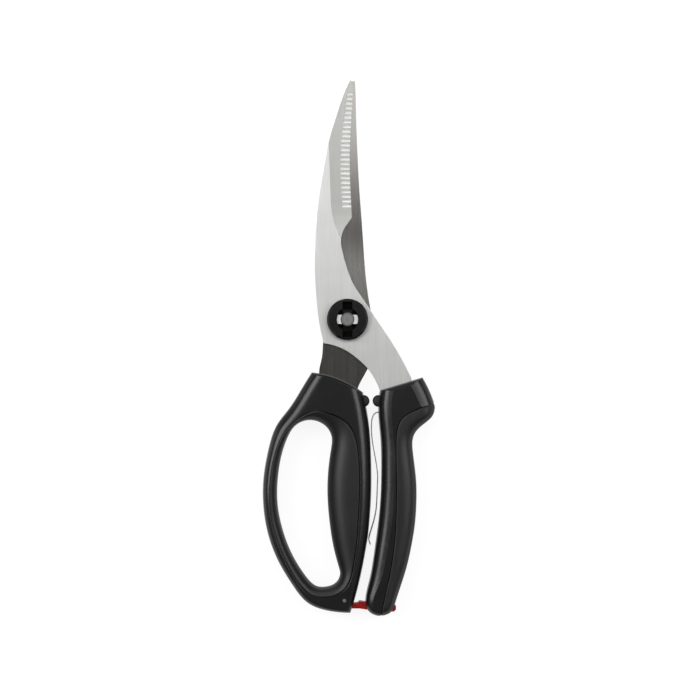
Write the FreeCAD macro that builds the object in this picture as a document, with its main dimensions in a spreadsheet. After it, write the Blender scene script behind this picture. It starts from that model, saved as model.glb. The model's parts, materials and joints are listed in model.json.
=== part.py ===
import FreeCAD, Part
import math
import os

import Sketcher

# Kitchen shears lying on their back. +Y runs from the handles to the blade tips, and +Z faces out of the
# front blade. The pieces are laid out from the pivot axis, with the plane where the blades slide on each
# other at height zero. One shared shift then puts the origin under the middle of the whole object.

V = FreeCAD.Vector

SIZES = (
    # Blades
    ("blade_reach", 119.5, "pivot axis to blade tips"),
    ("blade_span", 16.4, "pivot axis to the belly of the front blade"),
    ("blade_thickness", 2.8, "each blade"),
    ("blade_gap", 0.1, "running gap between the blades"),
    ("front_bevel_width", 13.0, "ground bevel of the front blade"),
    ("back_bevel_width", 6.5, "ground bevel of the back blade"),
    ("edge_thickness", 0.4, "steel left along the cutting edges"),
    ("flute_count", 25, "cutting flutes on the front blade"),
    ("flute_width", 1.3, "across one flute"),
    ("flute_depth", 0.45, "below the bevel"),
    ("flute_length", 4.6, "back from the cutting edge"),
    ("tang_hole", 4.0, "keying holes in the tangs"),
    # Handles
    ("grip_reach", 147.5, "pivot axis to the end of the thumb handle"),
    ("grip_span", 86.0, "across both handles"),
    ("handle_thickness", 18.0, "front to back"),
    ("soft_setback", 0.35, "soft faces below the hard faces"),
    ("edge_round", 5.0, "largest rounding of the outer edges, across"),
    ("edge_depth", 5.5, "rounding of the outer edges, down the side"),
    ("finger_round", 9.5, "largest rounding of the finger opening, across"),
    ("finger_flat", 2.0, "straight wall in the middle of the finger opening"),
    ("seam_round", 0.7, "rounding of the hard edge along a seam, across"),
    ("seam_depth", 0.9, "rounding of the hard edge along a seam, down"),
    ("lip_round", 0.5, "rounding of the soft edge along a seam, across"),
    ("lip_depth", 0.6, "rounding of the soft edge along a seam, down"),
    ("seam_gap", 0.05, "between hard and soft along a seam"),
    ("rib_thickness", 8.0, "hard rib inside the soft grip"),
    # Stops and spring
    ("bumper_diameter", 5.8, "soft stops"),
    ("bumper_length", 9.0, "soft stops, front to back"),
    ("bumper_round", 1.2, "edges of the soft stops"),
    ("spring_thickness", 0.5, "leaf spring"),
    ("spring_width", 7.0, "leaf spring, front to back"),
    ("spring_slack", 0.1, "round the rooted end of the spring"),
    # Pivot
    ("bolt_diameter", 7.0, "shaft of the pivot bolt"),
    ("head_span", 10.6, "T-head, end to end"),
    ("head_width", 4.5, "T-head, across its ears"),
    ("head_height", 2.0, "T-head"),
    ("head_chamfer", 0.4, "top edge of the bolt"),
    ("head_slack", 0.4, "round the T-head"),
    ("turning_gap", 0.1, "under the T-head"),
    ("running_gap", 0.05, "round the shaft"),
    ("press_gap", 0.02, "round a pressed fit"),
    ("ring_diameter", 20.5, "keyhole ring"),
    ("ring_height", 4.2, "keyhole ring above the front blade"),
    ("ring_chamfer", 0.9, "rim of the keyhole ring"),
    ("ring_floor", 0.8, "bearing above the front blade"),
    ("ring_wall", 1.4, "ring left at the ends of the key groove"),
    ("groove_depth", 2.6, "key groove across the ring"),
    ("hub_diameter", 13.0, "part of the ring inside the blade"),
    ("rivet_diameter", 5.5, "bolt inside the back blade"),
    ("washer_diameter", 15.0, "washer behind the back blade"),
    ("washer_thickness", 1.2, "washer behind the back blade"),
    ("washer_chamfer", 0.3, "rim of the washer"),
    ("peen_diameter", 8.4, "peened end of the bolt"),
    ("peen_height", 0.9, "peened end of the bolt"),
    # Lock
    ("lever_thickness", 5.0, "lock lever, front to back"),
    ("lever_height", 3.6, "bar of the lock lever"),
    ("lever_rise", 1.2, "hooked end above the rocking end"),
    ("lever_boss", 4.6, "round boss of the lock lever"),
    ("lever_slack", 0.25, "between the lever and its slots, each side"),
    ("latch_turn", 6.0, "degrees from free to latched"),
    ("latch_slack", 0.3, "between the latch notch and the catch pin"),
    ("barb_width", 2.0, "end of the lever beyond the notch"),
    ("tab_rise", 0.9, "thumb tab beyond the handle"),
    ("close_travel", 5.4, "room for the lever as the handles are squeezed"),
    ("slot_roof", 1.1, "slot above the catch pin's axis"),
    ("slot_room", 0.4, "room above the lever in the thumb handle"),
    ("slot_drop", 1.4, "room below the lever in the thumb handle"),
    ("lock_pin_diameter", 2.2, "pin that the lever rocks on"),
    ("lock_pin_cover", 3.0, "plastic in front of that pin"),
    ("catch_pin_diameter", 1.8, "pin that the latch holds"),
    ("pin_recess", 0.2, "pin ends below the faces"),
    # Cutters
    ("overrun", 2.0, "how far a cutter stands clear of what it cuts"),
)

# Outlines, as shares of blade_span and blade_reach above the pivot and of grip_span and grip_reach below.
FRONT_EDGE_SHARES = (
    (0.171, 0.996), (0.128, 0.854), (0.085, 0.749), (0.067, 0.644), (0.101, 0.515), (0.131, 0.425),
)
NOTCH_SHARES = (
    (0.131, 0.425), (0.0, 0.4), (-0.107, 0.377), (-0.177, 0.351), (-0.204, 0.322), (-0.168, 0.289),
    (-0.091, 0.247), (0.0, 0.205), (0.122, 0.163), (0.29, 0.121), (0.503, 0.079), (0.701, 0.038),
)
FRONT_ARM_SHARES = ((0.196, 0.024), (0.258, 0.078), (0.313, 0.132), (0.372, 0.2))
FRONT_TANG_SHARES = (
    (0.372, 0.2), (0.36, 0.244), (0.32, 0.292), (0.32, 0.583), (0.273, 0.607), (0.227, 0.583),
    (0.227, 0.292), (0.209, 0.261), (0.183, 0.234),
)
FRONT_THROAT_SHARES = (
    (0.183, 0.234), (0.145, 0.188), (0.113, 0.163), (0.052, 0.13), (-0.009, 0.105), (-0.078, 0.088),
    (-0.137, 0.081),
)
FRONT_HEEL_SHARES = ((-0.137, 0.081), (-0.151, 0.051))
FRONT_BELLY_SHARES = (
    (-0.884, 0.004), (-0.966, 0.121), (-0.997, 0.222), (-0.979, 0.322), (-0.924, 0.439), (-0.832, 0.54),
    (-0.704, 0.64), (-0.567, 0.741), (-0.354, 0.841), (-0.11, 0.941), (0.085, 1.0),
)
FRONT_BEVEL_SHARES = (
    (-0.646, 1.021), (-0.506, 0.485), (-0.463, 0.435), (-0.381, 0.393), (-0.268, 0.351), (-0.091, 0.314),
    (0.152, 0.28),
)
FRONT_BEVEL_FAR_SHARE = 0.5
FRONT_TANG_HOLE_SHARES = ((0.273, 0.39), (0.273, 0.51))

BACK_SPINE_SHARES = (
    (0.665, 0.071), (0.561, 0.172), (0.494, 0.289), (0.427, 0.423), (0.363, 0.54), (0.311, 0.674),
    (0.271, 0.808), (0.25, 0.941), (0.232, 0.998),
)
BACK_EDGE_SHARES = (
    (0.122, 0.996), (0.012, 0.837), (-0.055, 0.736), (-0.104, 0.64), (-0.159, 0.54), (-0.213, 0.439),
    (-0.28, 0.322), (-0.36, 0.222), (-0.451, 0.117), (-0.573, 0.017),
)
BACK_CHEEK_SHARES = ((-0.139, 0.06), (-0.144, 0.095), (-0.15, 0.132), (-0.161, 0.159), (-0.165, 0.185))
BACK_TANG_SHARES = (
    (-0.165, 0.185), (-0.151, 0.21), (-0.052, 0.298), (-0.047, 0.515), (0.003, 0.542), (0.053, 0.515),
    (0.058, 0.271), (0.061, 0.231),
)
BACK_SHOULDER_SHARES = (
    (0.061, 0.231), (0.08, 0.207), (0.116, 0.169), (0.146, 0.115), (0.153, 0.06), (0.146, 0.008),
)
BACK_BEVEL_SHARES = (
    (0.244, 1.021), (0.22, 0.485), (0.134, 0.301), (-0.03, 0.184), (-0.274, 0.1), (-0.579, 0.042),
)
BACK_BEVEL_FAR_SHARE = -1.0
BACK_TANG_HOLE_SHARES = ((0.0, 0.36), (0.003, 0.46))
FLUTE_START_SHARE = 0.475
FLUTE_END_SHARE = 0.943
FLUTE_FULL_SHARE = 0.75

# Each handle outline point carries its share of edge_round. A corner has one share for each of its sides.
LOOP_BOW_SHARES = (
    (-0.206, 0.18, 1.2), (-0.263, 0.234, 1.2), (-0.337, 0.302, 1.2), (-0.407, 0.356, 1.05),
    (-0.457, 0.437, 0.85), (-0.488, 0.546, 0.75), (-0.488, 0.627, 0.72), (-0.462, 0.722, 0.7),
    (-0.401, 0.817, 0.68), (-0.318, 0.898, 0.64), (-0.227, 0.959, 0.58), (-0.128, 0.982, 0.5),
    (0.017, 0.991, 0.4),
)
LOOP_INSIDE_SHARES = (
    (0.017, 0.991, 0.4), (0.045, 0.939, 0.6), (0.084, 0.844, 0.8), (0.113, 0.749, 0.92),
    (0.13, 0.654, 1.0), (0.137, 0.559, 1.05), (0.135, 0.471, 1.1), (0.123, 0.363, 1.2),
    (0.106, 0.295, 1.2), (0.087, 0.246, 1.2),
)
LOOP_TOP_SHARES = ((0.087, 0.246, 0.3), (0.0, 0.214, 0.3), (-0.076, 0.195, 0.3), (-0.206, 0.18, 0.3))
# Each point of the finger opening carries its share of finger_round.
FINGER_SHARES = (
    (-0.215, 0.341, 0.47), (-0.139, 0.356, 0.68), (-0.101, 0.383, 0.9), (-0.091, 0.414, 1.0),
    (-0.103, 0.464, 1.0), (-0.115, 0.532, 1.0), (-0.116, 0.607, 1.0), (-0.103, 0.695, 0.95),
    (-0.08, 0.776, 0.85), (-0.052, 0.837, 0.7), (-0.044, 0.863, 0.6), (-0.058, 0.885, 0.53),
    (-0.093, 0.901, 0.5), (-0.145, 0.907, 0.47), (-0.198, 0.898, 0.44), (-0.258, 0.858, 0.38),
    (-0.327, 0.79, 0.35), (-0.379, 0.708, 0.34), (-0.406, 0.627, 0.34), (-0.406, 0.546, 0.34),
    (-0.385, 0.464, 0.34), (-0.346, 0.397, 0.36), (-0.295, 0.356, 0.4),
)
LINER_SHARES = (
    (-0.186, 0.31), (-0.07, 0.324), (0.012, 0.359), (0.052, 0.414), (0.068, 0.495), (0.067, 0.614),
    (0.055, 0.732), (0.029, 0.844), (-0.003, 0.898), (-0.058, 0.925), (-0.134, 0.935), (-0.215, 0.925),
    (-0.297, 0.875), (-0.384, 0.776), (-0.439, 0.664), (-0.445, 0.553), (-0.422, 0.461), (-0.372, 0.39),
    (-0.291, 0.339),
)
LOOP_RIB_SHARES = (
    (0.072, 0.312), (-0.081, 0.312), (-0.063, 0.407), (-0.072, 0.583), (-0.056, 0.719), (-0.017, 0.8),
    (0.041, 0.8), (0.072, 0.678),
)
THUMB_SIDE_SHARES = (
    (0.192, 0.239, 1.25), (0.183, 0.275, 1.25), (0.184, 0.336, 1.25), (0.195, 0.41, 1.25),
    (0.199, 0.498, 1.25), (0.197, 0.573, 1.25), (0.188, 0.654, 1.25), (0.174, 0.722, 1.25),
    (0.154, 0.803, 1.15), (0.128, 0.885, 0.95), (0.106, 0.942, 0.7), (0.115, 0.98, 0.65),
    (0.154, 0.998, 0.65), (0.215, 1.0, 0.7), (0.259, 0.985, 0.8), (0.287, 0.942, 1.0),
    (0.323, 0.878, 1.15), (0.353, 0.817, 1.25), (0.377, 0.749, 1.3), (0.394, 0.681, 1.3),
    (0.401, 0.607, 1.3), (0.398, 0.539, 1.3), (0.384, 0.468, 1.25), (0.377, 0.417, 1.2),
    (0.394, 0.383, 1.15), (0.439, 0.356, 1.1), (0.491, 0.329, 1.05), (0.507, 0.302, 1.15),
    (0.496, 0.275, 1.35), (0.477, 0.247, 1.4), (0.455, 0.22, 1.4), (0.433, 0.197, 1.4),
)
THUMB_TOP_SHARES = ((0.433, 0.197, 0.4), (0.192, 0.239, 0.4))
SEAM_SHARES = (
    (0.18, 1.027), (0.209, 0.953), (0.241, 0.868), (0.265, 0.783), (0.279, 0.681), (0.283, 0.58),
    (0.28, 0.478), (0.28, 0.41), (0.288, 0.369), (0.311, 0.337), (0.355, 0.317), (0.424, 0.298),
    (0.552, 0.264),
)
PAD_SIDE_SHARES = ((0.75, 0.264), (0.75, 1.15), (0.18, 1.15))
CORE_SIDE_SHARES = ((0.552, 0.05), (0.0, 0.05), (0.0, 1.027))
THUMB_RIB_SHARES = (
    (0.25, 0.292), (0.355, 0.298), (0.355, 0.353), (0.34, 0.407), (0.344, 0.475), (0.353, 0.542),
    (0.349, 0.678), (0.308, 0.8), (0.25, 0.854), (0.209, 0.814),
)

# Places of the small pieces on the handles, as shares of grip_span and grip_reach.
LOOP_BUMPER_SHARE = (0.094, 0.276)
THUMB_BUMPER_SHARE = (0.18, 0.276)
SPRING_SHARES = (
    (0.219, 0.31), (0.203, 0.312), (0.184, 0.313), (0.158, 0.319), (0.143, 0.336), (0.139, 0.363),
    (0.144, 0.41), (0.16, 0.464), (0.174, 0.519), (0.174, 0.553), (0.171, 0.6), (0.163, 0.654),
    (0.144, 0.698), (0.13, 0.725), (0.124, 0.744), (0.133, 0.761),
)
CATCH_SHARE = -0.018
LOCK_SHARE = (0.157, 0.9736)
TAB_SHARE = (0.271, 0.976)
MIDDLE_SHARE = 0.0095

# Rounded edges pass through these angles, a flared cutter a little past the face that it leaves.
ROUND_ANGLES = (90.0, 60.0, 30.0, 0.0)
FLARE_ANGLES = (80.0, 58.0, 32.0, 0.0)
FLARE_SHARE = 1.08
LINE_ENDS = 2
FRONT_FACE = "sizes.blade_gap / 2 + sizes.blade_thickness"

doc = FreeCAD.newDocument("kitchen_shears")
sheet = doc.addObject("Spreadsheet::Sheet", "sizes")
for row, (alias, value, meaning) in enumerate(SIZES, start=1):
    sheet.set(f"A{row}", meaning)
    sheet.set(f"B{row}", str(value))
    sheet.setAlias(f"B{row}", alias)
doc.recompute()


def size(alias):
    """A driving dimension, as the sheet holds it."""
    return float(sheet.get(alias))


def on_blade(shares):
    """Points above the pivot, from shares of the blade's size."""
    return [V(x * size("blade_span"), y * size("blade_reach"), 0) for x, y in shares]


def on_grip(shares):
    """Points below the pivot, from shares of the handles' size."""
    return [V(point[0] * size("grip_span"), -point[1] * size("grip_reach"), 0) for point in shares]


def pace_of(points, closed=False):
    """Distances along a chain of points, the parameters of the curve through them."""
    chain = points + points[:1] if closed else points
    pace = [0.0]
    for start, end in zip(chain, chain[1:]):
        pace.append(pace[-1] + (end - start).Length)
    return pace


def curve_through(points, pace=None, closed=False):
    """A line between two points, or a smooth curve through more."""
    if len(points) == LINE_ENDS:
        return Part.LineSegment(*points)
    curve = Part.BSplineCurve()
    curve.interpolate(Points=points, PeriodicFlag=closed, Parameters=pace or pace_of(points, closed))
    return curve


def shifted(points, amounts, closed=False):
    """The points, each moved to the left of the way that they run, with mitred corners.

    A pair of amounts belongs to a corner: off the side that comes before it and off the side after it.
    """
    last = len(points) - 1
    moved = []
    for index, point in enumerate(points):
        before = points[index - 1] if index or closed else None
        after = points[(index + 1) % len(points)] if index < last or closed else None
        steps = [(start, end) for start, end in ((before, point), (point, after)) if None not in (start, end)]
        ways = [(end - start).normalize() for start, end in steps]
        lefts = [V(-way.y, way.x, 0) for way in ways]
        if isinstance(amounts[index], tuple):
            off, onward = amounts[index]
            turn = ways[0].cross(ways[1]).z
            moved.append(point + (ways[1] * off - ways[0] * onward) / turn)
            continue
        middle = sum(lefts, V()).normalize()
        moved.append(point + middle * (amounts[index] / middle.dot(lefts[0])))
    return moved


def seat(item, across="0", along="0", height="0"):
    """Binds a piece's place to the shared shift, plus its own place from the pivot."""
    item.setExpression("Placement.Base.x", f"-sizes.grip_span * {MIDDLE_SHARE} + {across}")
    item.setExpression("Placement.Base.y", f"(sizes.grip_reach - sizes.blade_reach) / 2 + {along}")
    item.setExpression("Placement.Base.z", f"sizes.handle_thickness / 2 + {height}")


def new_body(name):
    """A body at the shared shift."""
    body = doc.addObject("PartDesign::Body", name)
    body.Label = name
    seat(body)
    return body


def sketch_in(body, name, role="XY_Plane", lift="0", across="0", along="0"):
    """A sketch on one of the body's own planes, moved along the plane and off it."""
    sketch = body.newObject("Sketcher::SketchObject", name)
    plane = next(item for item in body.Origin.OriginFeatures if item.Role == role)
    sketch.AttachmentSupport = [(plane, "")]
    sketch.MapMode = "FlatFace"
    sketch.setExpression("AttachmentOffset.Base.x", across)
    sketch.setExpression("AttachmentOffset.Base.y", along)
    sketch.setExpression("AttachmentOffset.Base.z", lift)
    return sketch


def draw_polygon(sketch, points):
    """A closed outline of straight lines."""
    for start, end in zip(points, points[1:] + points[:1]):
        sketch.addGeometry(Part.LineSegment(start, end))


def draw_circle(sketch, diameter):
    """A circle about the sketch's own origin, its diameter bound to an expression."""
    circle = sketch.addGeometry(Part.Circle(V(), V(0, 0, 1), size("overrun")))
    sketch.addConstraint(Sketcher.Constraint("Coincident", circle, 3, -1, 1))
    rule = sketch.addConstraint(Sketcher.Constraint("Diameter", circle, size("overrun")))
    sketch.setExpression(f"Constraints[{rule}]", diameter)


def thickened(body, kind, sketch, length, side="Symmetric", reverse=False):
    """A pad or pocket of a sketch, its length bound to an expression."""
    feature = body.newObject(f"PartDesign::{kind}", f"{sketch.Name}_{kind.lower()}")
    feature.Profile = sketch
    feature.SideType = side
    feature.Reversed = reverse
    feature.setExpression("Length", length)
    return feature


def lofted(body, kind, sketches, ruled=False):
    """A loft, added or taken away, through sketches one above the other."""
    feature = body.newObject(f"PartDesign::{kind}", f"{sketches[0].Name}_loft")
    feature.Profile = sketches[0]
    feature.Sections = sketches[1:]
    feature.Ruled = ruled
    return feature


def revolved(body, sketch):
    """A full turn of a sketch about the pivot axis."""
    feature = body.newObject("PartDesign::Revolution", f"{sketch.Name}_turn")
    feature.Profile = sketch
    feature.ReferenceAxis = (sketch, ["V_Axis"])
    return feature


def drilled(body, name, across, along, diameter):
    """A round hole right through, square to the blades."""
    sketch = sketch_in(body, name, across=across, along=along)
    draw_circle(sketch, diameter)
    return thickened(body, "Pocket", sketch, "2 * sizes.handle_thickness")


def grip_place(share):
    """Expressions for a place on the handles."""
    return f"sizes.grip_span * {share[0]}", f"-sizes.grip_reach * {share[1]}"


def levels(half, depth, angles, reach):
    """Heights up a rounded edge and the share of its rounding there, from the underside to the top."""
    quarter = [(math.sin(math.radians(angle)), 1 - math.cos(math.radians(angle))) for angle in angles]
    below = [(f"-({half} - {depth} + {depth} * {reach * rise})", share) for rise, share in quarter]
    above = [(f"{half} - {depth} + {depth} * {reach * rise}", share) for rise, share in reversed(quarter)]
    return below + above


def section_sketches(body, name, steps, runs_at):
    """One sketch for each height, with the outline that runs_at gives for its share of rounding."""
    sketches = []
    for number, (height, share) in enumerate(steps):
        sketch = sketch_in(body, f"{name}_{number}", lift=height)
        for run in runs_at(share):
            sketch.addGeometry(run)
        sketches.append(sketch)
    return sketches


def handle_form(body, name, runs, half):
    """The outer form of a handle: its outline, drawn in towards the front and the back."""
    chain = [point for run in runs for point in run[:-1]]
    nominal = on_grip(chain)
    edge = size("edge_round")
    corners = {run[0][:2]: (before[-1][2], run[0][2]) for before, run in zip(runs[-1:] + runs[:-1], runs)}

    def amount_at(point, share):
        """How far a point moves in, or a pair for a corner."""
        if point[:2] in corners:
            return tuple(part * edge * share for part in corners[point[:2]])
        return point[2] * edge * share

    def runs_at(share):
        inner = shifted(nominal, [amount_at(point, share) for point in chain], closed=True)
        curves = []
        first = 0
        for run in runs:
            picks = [(first + step) % len(chain) for step in range(len(run))]
            pace = pace_of([nominal[pick] for pick in picks])
            curves.append(curve_through([inner[pick] for pick in picks], pace))
            first += len(run) - 1
        return curves

    steps = levels(half, "sizes.edge_depth", ROUND_ANGLES, 1)
    return lofted(body, "AdditiveLoft", section_sketches(body, name, steps, runs_at))


def ring_cut(body, name, points, flares, half, depth, ruled):
    """A closed opening through a handle that flares towards the front and the back."""
    pace = pace_of(points, closed=True)

    def runs_at(share):
        outer = shifted(points, [flare * share for flare in flares], closed=True)
        return [curve_through(outer, pace, closed=True)]

    steps = levels(half, depth, FLARE_ANGLES, FLARE_SHARE)
    return lofted(body, "SubtractiveLoft", section_sketches(body, name, steps, runs_at), ruled)


def seam_cut(body, name, far_shares, inset, flare, half, depth):
    """Takes away what lies beyond the seam of the thumb handle, and rounds the edge that is left.

    inset moves the whole seam towards the core, and flare is what the rounding adds to it at the faces.
    """
    seam = shifted(on_grip(SEAM_SHARES), [inset] * len(SEAM_SHARES))
    far = on_grip(far_shares)

    def runs_at(share):
        moved = shifted(seam, [flare * share] * len(seam))
        curves = [curve_through(moved, pace_of(seam))]
        corners = [moved[-1]] + far + [moved[0]]
        return curves + [Part.LineSegment(start, end) for start, end in zip(corners, corners[1:])]

    steps = levels(half, depth, FLARE_ANGLES, FLARE_SHARE)
    return lofted(body, "SubtractiveLoft", section_sketches(body, name, steps, runs_at), ruled=True)


def bevel_cut(body, name, stations, far_share, width, face):
    """A ground bevel: from the apex line at the face it falls towards the cutting edge.

    face is 1 for the front of the shears and -1 for the back, and far_share lies past the edge.
    """
    top = size("blade_gap") / 2 + size("blade_thickness")
    fall = (size("blade_thickness") - size("edge_thickness")) / size(width)
    far = far_share * size("blade_span")
    sketches = []
    for number, (apex, along) in enumerate(stations):
        sketch = sketch_in(body, f"{name}_{number}", "XZ_Plane", f"-sizes.blade_reach * {along}")
        start = apex * size("blade_span")
        drop = abs(far - start) * fall
        heights = (top, top - drop, top + size("overrun"))
        draw_polygon(sketch, [V(x, face * height, 0) for x, height in zip((start, far, far), heights)])
        sketches.append(sketch)
    return lofted(body, "SubtractiveLoft", sketches, ruled=True)


def joined(name, kind, **links):
    """A boolean of whole pieces."""
    result = doc.addObject(f"Part::{kind}", name)
    result.Label = name
    for link, value in links.items():
        setattr(result, link, value)
    return result


def edges_at_height(feature, height):
    """Names of a feature's edges that lie flat at a height."""
    names = []
    for number, edge in enumerate(feature.Shape.Edges, start=1):
        box = edge.BoundBox
        if max(abs(box.ZMin - height), abs(box.ZMax - height)) < size("press_gap"):
            names.append(f"Edge{number}")
    return names


def build_front_blade():
    """Front blade: bone notch, ground bevel, cutting flutes, ricasso and tang."""
    body = new_body("front_blade_blank")
    sketch = sketch_in(body, "front_outline", lift="sizes.blade_gap / 2")
    runs = (
        on_blade(FRONT_EDGE_SHARES),
        on_blade(NOTCH_SHARES) + on_grip(FRONT_ARM_SHARES),
        on_grip(FRONT_THROAT_SHARES),
        on_grip(FRONT_HEEL_SHARES) + on_blade(FRONT_BELLY_SHARES),
        [on_blade(FRONT_BELLY_SHARES)[-1], on_blade(FRONT_EDGE_SHARES)[0]],
    )
    for run in runs:
        sketch.addGeometry(curve_through(run))
    tang = on_grip(FRONT_TANG_SHARES)
    for start, end in zip(tang, tang[1:]):
        sketch.addGeometry(Part.LineSegment(start, end))
    thickened(body, "Pad", sketch, "sizes.blade_thickness", "One side")
    bevel_cut(body, "front_bevel", FRONT_BEVEL_SHARES, FRONT_BEVEL_FAR_SHARE, "front_bevel_width", 1)
    drilled(body, "front_hub_hole", "0", "0", "sizes.hub_diameter + 2 * sizes.press_gap")
    for number, share in enumerate(FRONT_TANG_HOLE_SHARES):
        drilled(body, f"front_key_hole_{number}", *grip_place(share), "sizes.tang_hole")
    flutes = doc.addObject("Part::Feature", "flute_cutters")
    flutes.Shape = flute_cutters()
    seat(flutes)
    return joined("front_blade", "Cut", Base=body, Tool=flutes)


def flute_cutters():
    """V-shaped cutters that follow the bevel, one for each flute, shorter towards the tip."""
    top = size("blade_gap") / 2 + size("blade_thickness")
    fall = (size("blade_thickness") - size("edge_thickness")) / size("front_bevel_width")
    tip, heel = on_blade(FRONT_BEVEL_SHARES)[:2]
    edge = curve_through(on_blade(FRONT_EDGE_SHARES))
    reach = size("blade_reach")
    scale = 1 + size("overrun") / size("flute_depth")
    count = int(size("flute_count"))
    pitch = reach * (FLUTE_END_SHARE - FLUTE_START_SHARE) / (count - 1)
    cutters = []
    for number in range(count):
        along = reach * FLUTE_START_SHARE + number * pitch
        apex = heel.x + (tip.x - heel.x) * (along - heel.y) / (tip.y - heel.y)
        end = edge.intersectCC(Part.LineSegment(V(-reach, along, 0), V(reach, along, 0)))[0].X
        taper = min(1, (reach - along) / (reach * (1 - FLUTE_FULL_SHARE)))
        length = size("flute_length") * (1 + taper) / 2
        start = end - length
        floor = top - fall * (start - apex)
        half = size("flute_width") / 2 * scale
        profile = Part.makePolygon([
            V(start, along, floor - size("flute_depth")),
            V(start, along + half, floor + size("overrun")),
            V(start, along - half, floor + size("overrun")),
            V(start, along, floor - size("flute_depth")),
        ])
        run = length + size("overrun")
        cutters.append(Part.Face(profile).extrude(V(run, 0, -fall * run)))
    return Part.makeCompound(cutters)


def build_back_blade():
    """Back blade: plain ground edge, ricasso and tang."""
    body = new_body("back_blade")
    sketch = sketch_in(body, "back_outline", lift="-sizes.blade_gap / 2")
    runs = (
        on_grip(BACK_SHOULDER_SHARES) + on_blade(BACK_SPINE_SHARES),
        [on_blade(BACK_SPINE_SHARES)[-1], on_blade(BACK_EDGE_SHARES)[0]],
        on_blade(BACK_EDGE_SHARES) + on_grip(BACK_CHEEK_SHARES),
    )
    for run in runs:
        sketch.addGeometry(curve_through(run))
    tang = on_grip(BACK_TANG_SHARES)
    for start, end in zip(tang, tang[1:]):
        sketch.addGeometry(Part.LineSegment(start, end))
    thickened(body, "Pad", sketch, "sizes.blade_thickness", "One side", reverse=True)
    bevel_cut(body, "back_bevel", BACK_BEVEL_SHARES, BACK_BEVEL_FAR_SHARE, "back_bevel_width", -1)
    drilled(body, "back_rivet_hole", "0", "0", "sizes.rivet_diameter + 2 * sizes.press_gap")
    for number, share in enumerate(BACK_TANG_HOLE_SHARES):
        drilled(body, f"back_key_hole_{number}", *grip_place(share), "sizes.tang_hole")
    return body


def build_pivot_bolt():
    """T-headed bolt: peened end, rivet, shaft and head."""
    body = new_body("pivot_bolt")
    inner = size("blade_gap") / 2
    back = -inner - size("blade_thickness") - size("washer_thickness")
    seat_height = inner + size("blade_thickness") + size("ring_floor") + size("turning_gap")
    top = seat_height + size("head_height")
    shaft = size("bolt_diameter") / 2
    rivet = size("rivet_diameter") / 2
    peen = size("peen_diameter") / 2
    profile = sketch_in(body, "bolt_profile", "XZ_Plane")
    draw_polygon(profile, [
        V(0, back - size("peen_height"), 0),
        V(rivet, back - size("peen_height"), 0),
        V(peen, back - size("peen_height") / 2, 0),
        V(peen, back, 0),
        V(rivet, back, 0),
        V(rivet, -inner, 0),
        V(shaft, -inner, 0),
        V(shaft, top - size("head_chamfer"), 0),
        V(shaft - size("head_chamfer"), top, 0),
        V(0, top, 0),
    ])
    revolved(body, profile)
    ears = sketch_in(body, "bolt_ears", lift=f"{FRONT_FACE} + sizes.ring_floor + sizes.turning_gap")
    half = size("head_width") / 2
    end = size("head_span") / 2
    side = math.sqrt(end * end - half * half)
    ears.addGeometry(Part.Arc(V(side, -half, 0), V(end, 0, 0), V(side, half, 0)))
    ears.addGeometry(Part.LineSegment(V(side, half, 0), V(-side, half, 0)))
    ears.addGeometry(Part.Arc(V(-side, half, 0), V(-end, 0, 0), V(-side, -half, 0)))
    ears.addGeometry(Part.LineSegment(V(-side, -half, 0), V(side, -half, 0)))
    thickened(body, "Pad", ears, "sizes.head_height - sizes.head_chamfer", "One side")
    return body


def build_pivot_washer():
    """Washer between the back blade and the peened end."""
    body = new_body("pivot_washer")
    front = -size("blade_gap") / 2 - size("blade_thickness")
    back = front - size("washer_thickness")
    rim = size("washer_diameter") / 2
    bore = size("rivet_diameter") / 2 + size("press_gap")
    profile = sketch_in(body, "washer_profile", "XZ_Plane")
    draw_polygon(profile, [
        V(bore, front, 0),
        V(rim, front, 0),
        V(rim, back + size("washer_chamfer"), 0),
        V(rim - size("washer_chamfer"), back, 0),
        V(bore, back, 0),
    ])
    revolved(body, profile)
    return body


def build_keyhole_ring():
    """Bush in the front blade, with a bearing for the shaft, a recess for the T-head and a keyway."""
    body = new_body("keyhole_ring")
    inner = size("blade_gap") / 2
    face = inner + size("blade_thickness")
    top = face + size("ring_height")
    floor = face + size("ring_floor")
    rim = size("ring_diameter") / 2
    hub = size("hub_diameter") / 2
    bore = size("bolt_diameter") / 2 + size("running_gap")
    recess = size("head_span") / 2 + size("head_slack")
    profile = sketch_in(body, "ring_profile", "XZ_Plane")
    draw_polygon(profile, [
        V(bore, inner, 0),
        V(hub, inner, 0),
        V(hub, face, 0),
        V(rim, face, 0),
        V(rim, top - size("ring_chamfer"), 0),
        V(rim - size("ring_chamfer"), top, 0),
        V(recess, top, 0),
        V(recess, floor, 0),
        V(bore, floor, 0),
    ])
    revolved(body, profile)
    half = size("head_width") / 2 + size("head_slack") / 2
    keyway = sketch_in(body, "keyway")
    draw_polygon(keyway, [V(-half, -recess, 0), V(half, -recess, 0), V(half, recess, 0), V(-half, recess, 0)])
    thickened(body, "Pocket", keyway, "2 * sizes.handle_thickness")
    end = rim - size("ring_wall")
    groove = sketch_in(body, "key_groove", lift=f"{FRONT_FACE} + sizes.ring_height")
    draw_polygon(groove, [V(-half, -end, 0), V(half, -end, 0), V(half, end, 0), V(-half, end, 0)])
    thickened(body, "Pocket", groove, "sizes.groove_depth", "One side")
    return body


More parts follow.
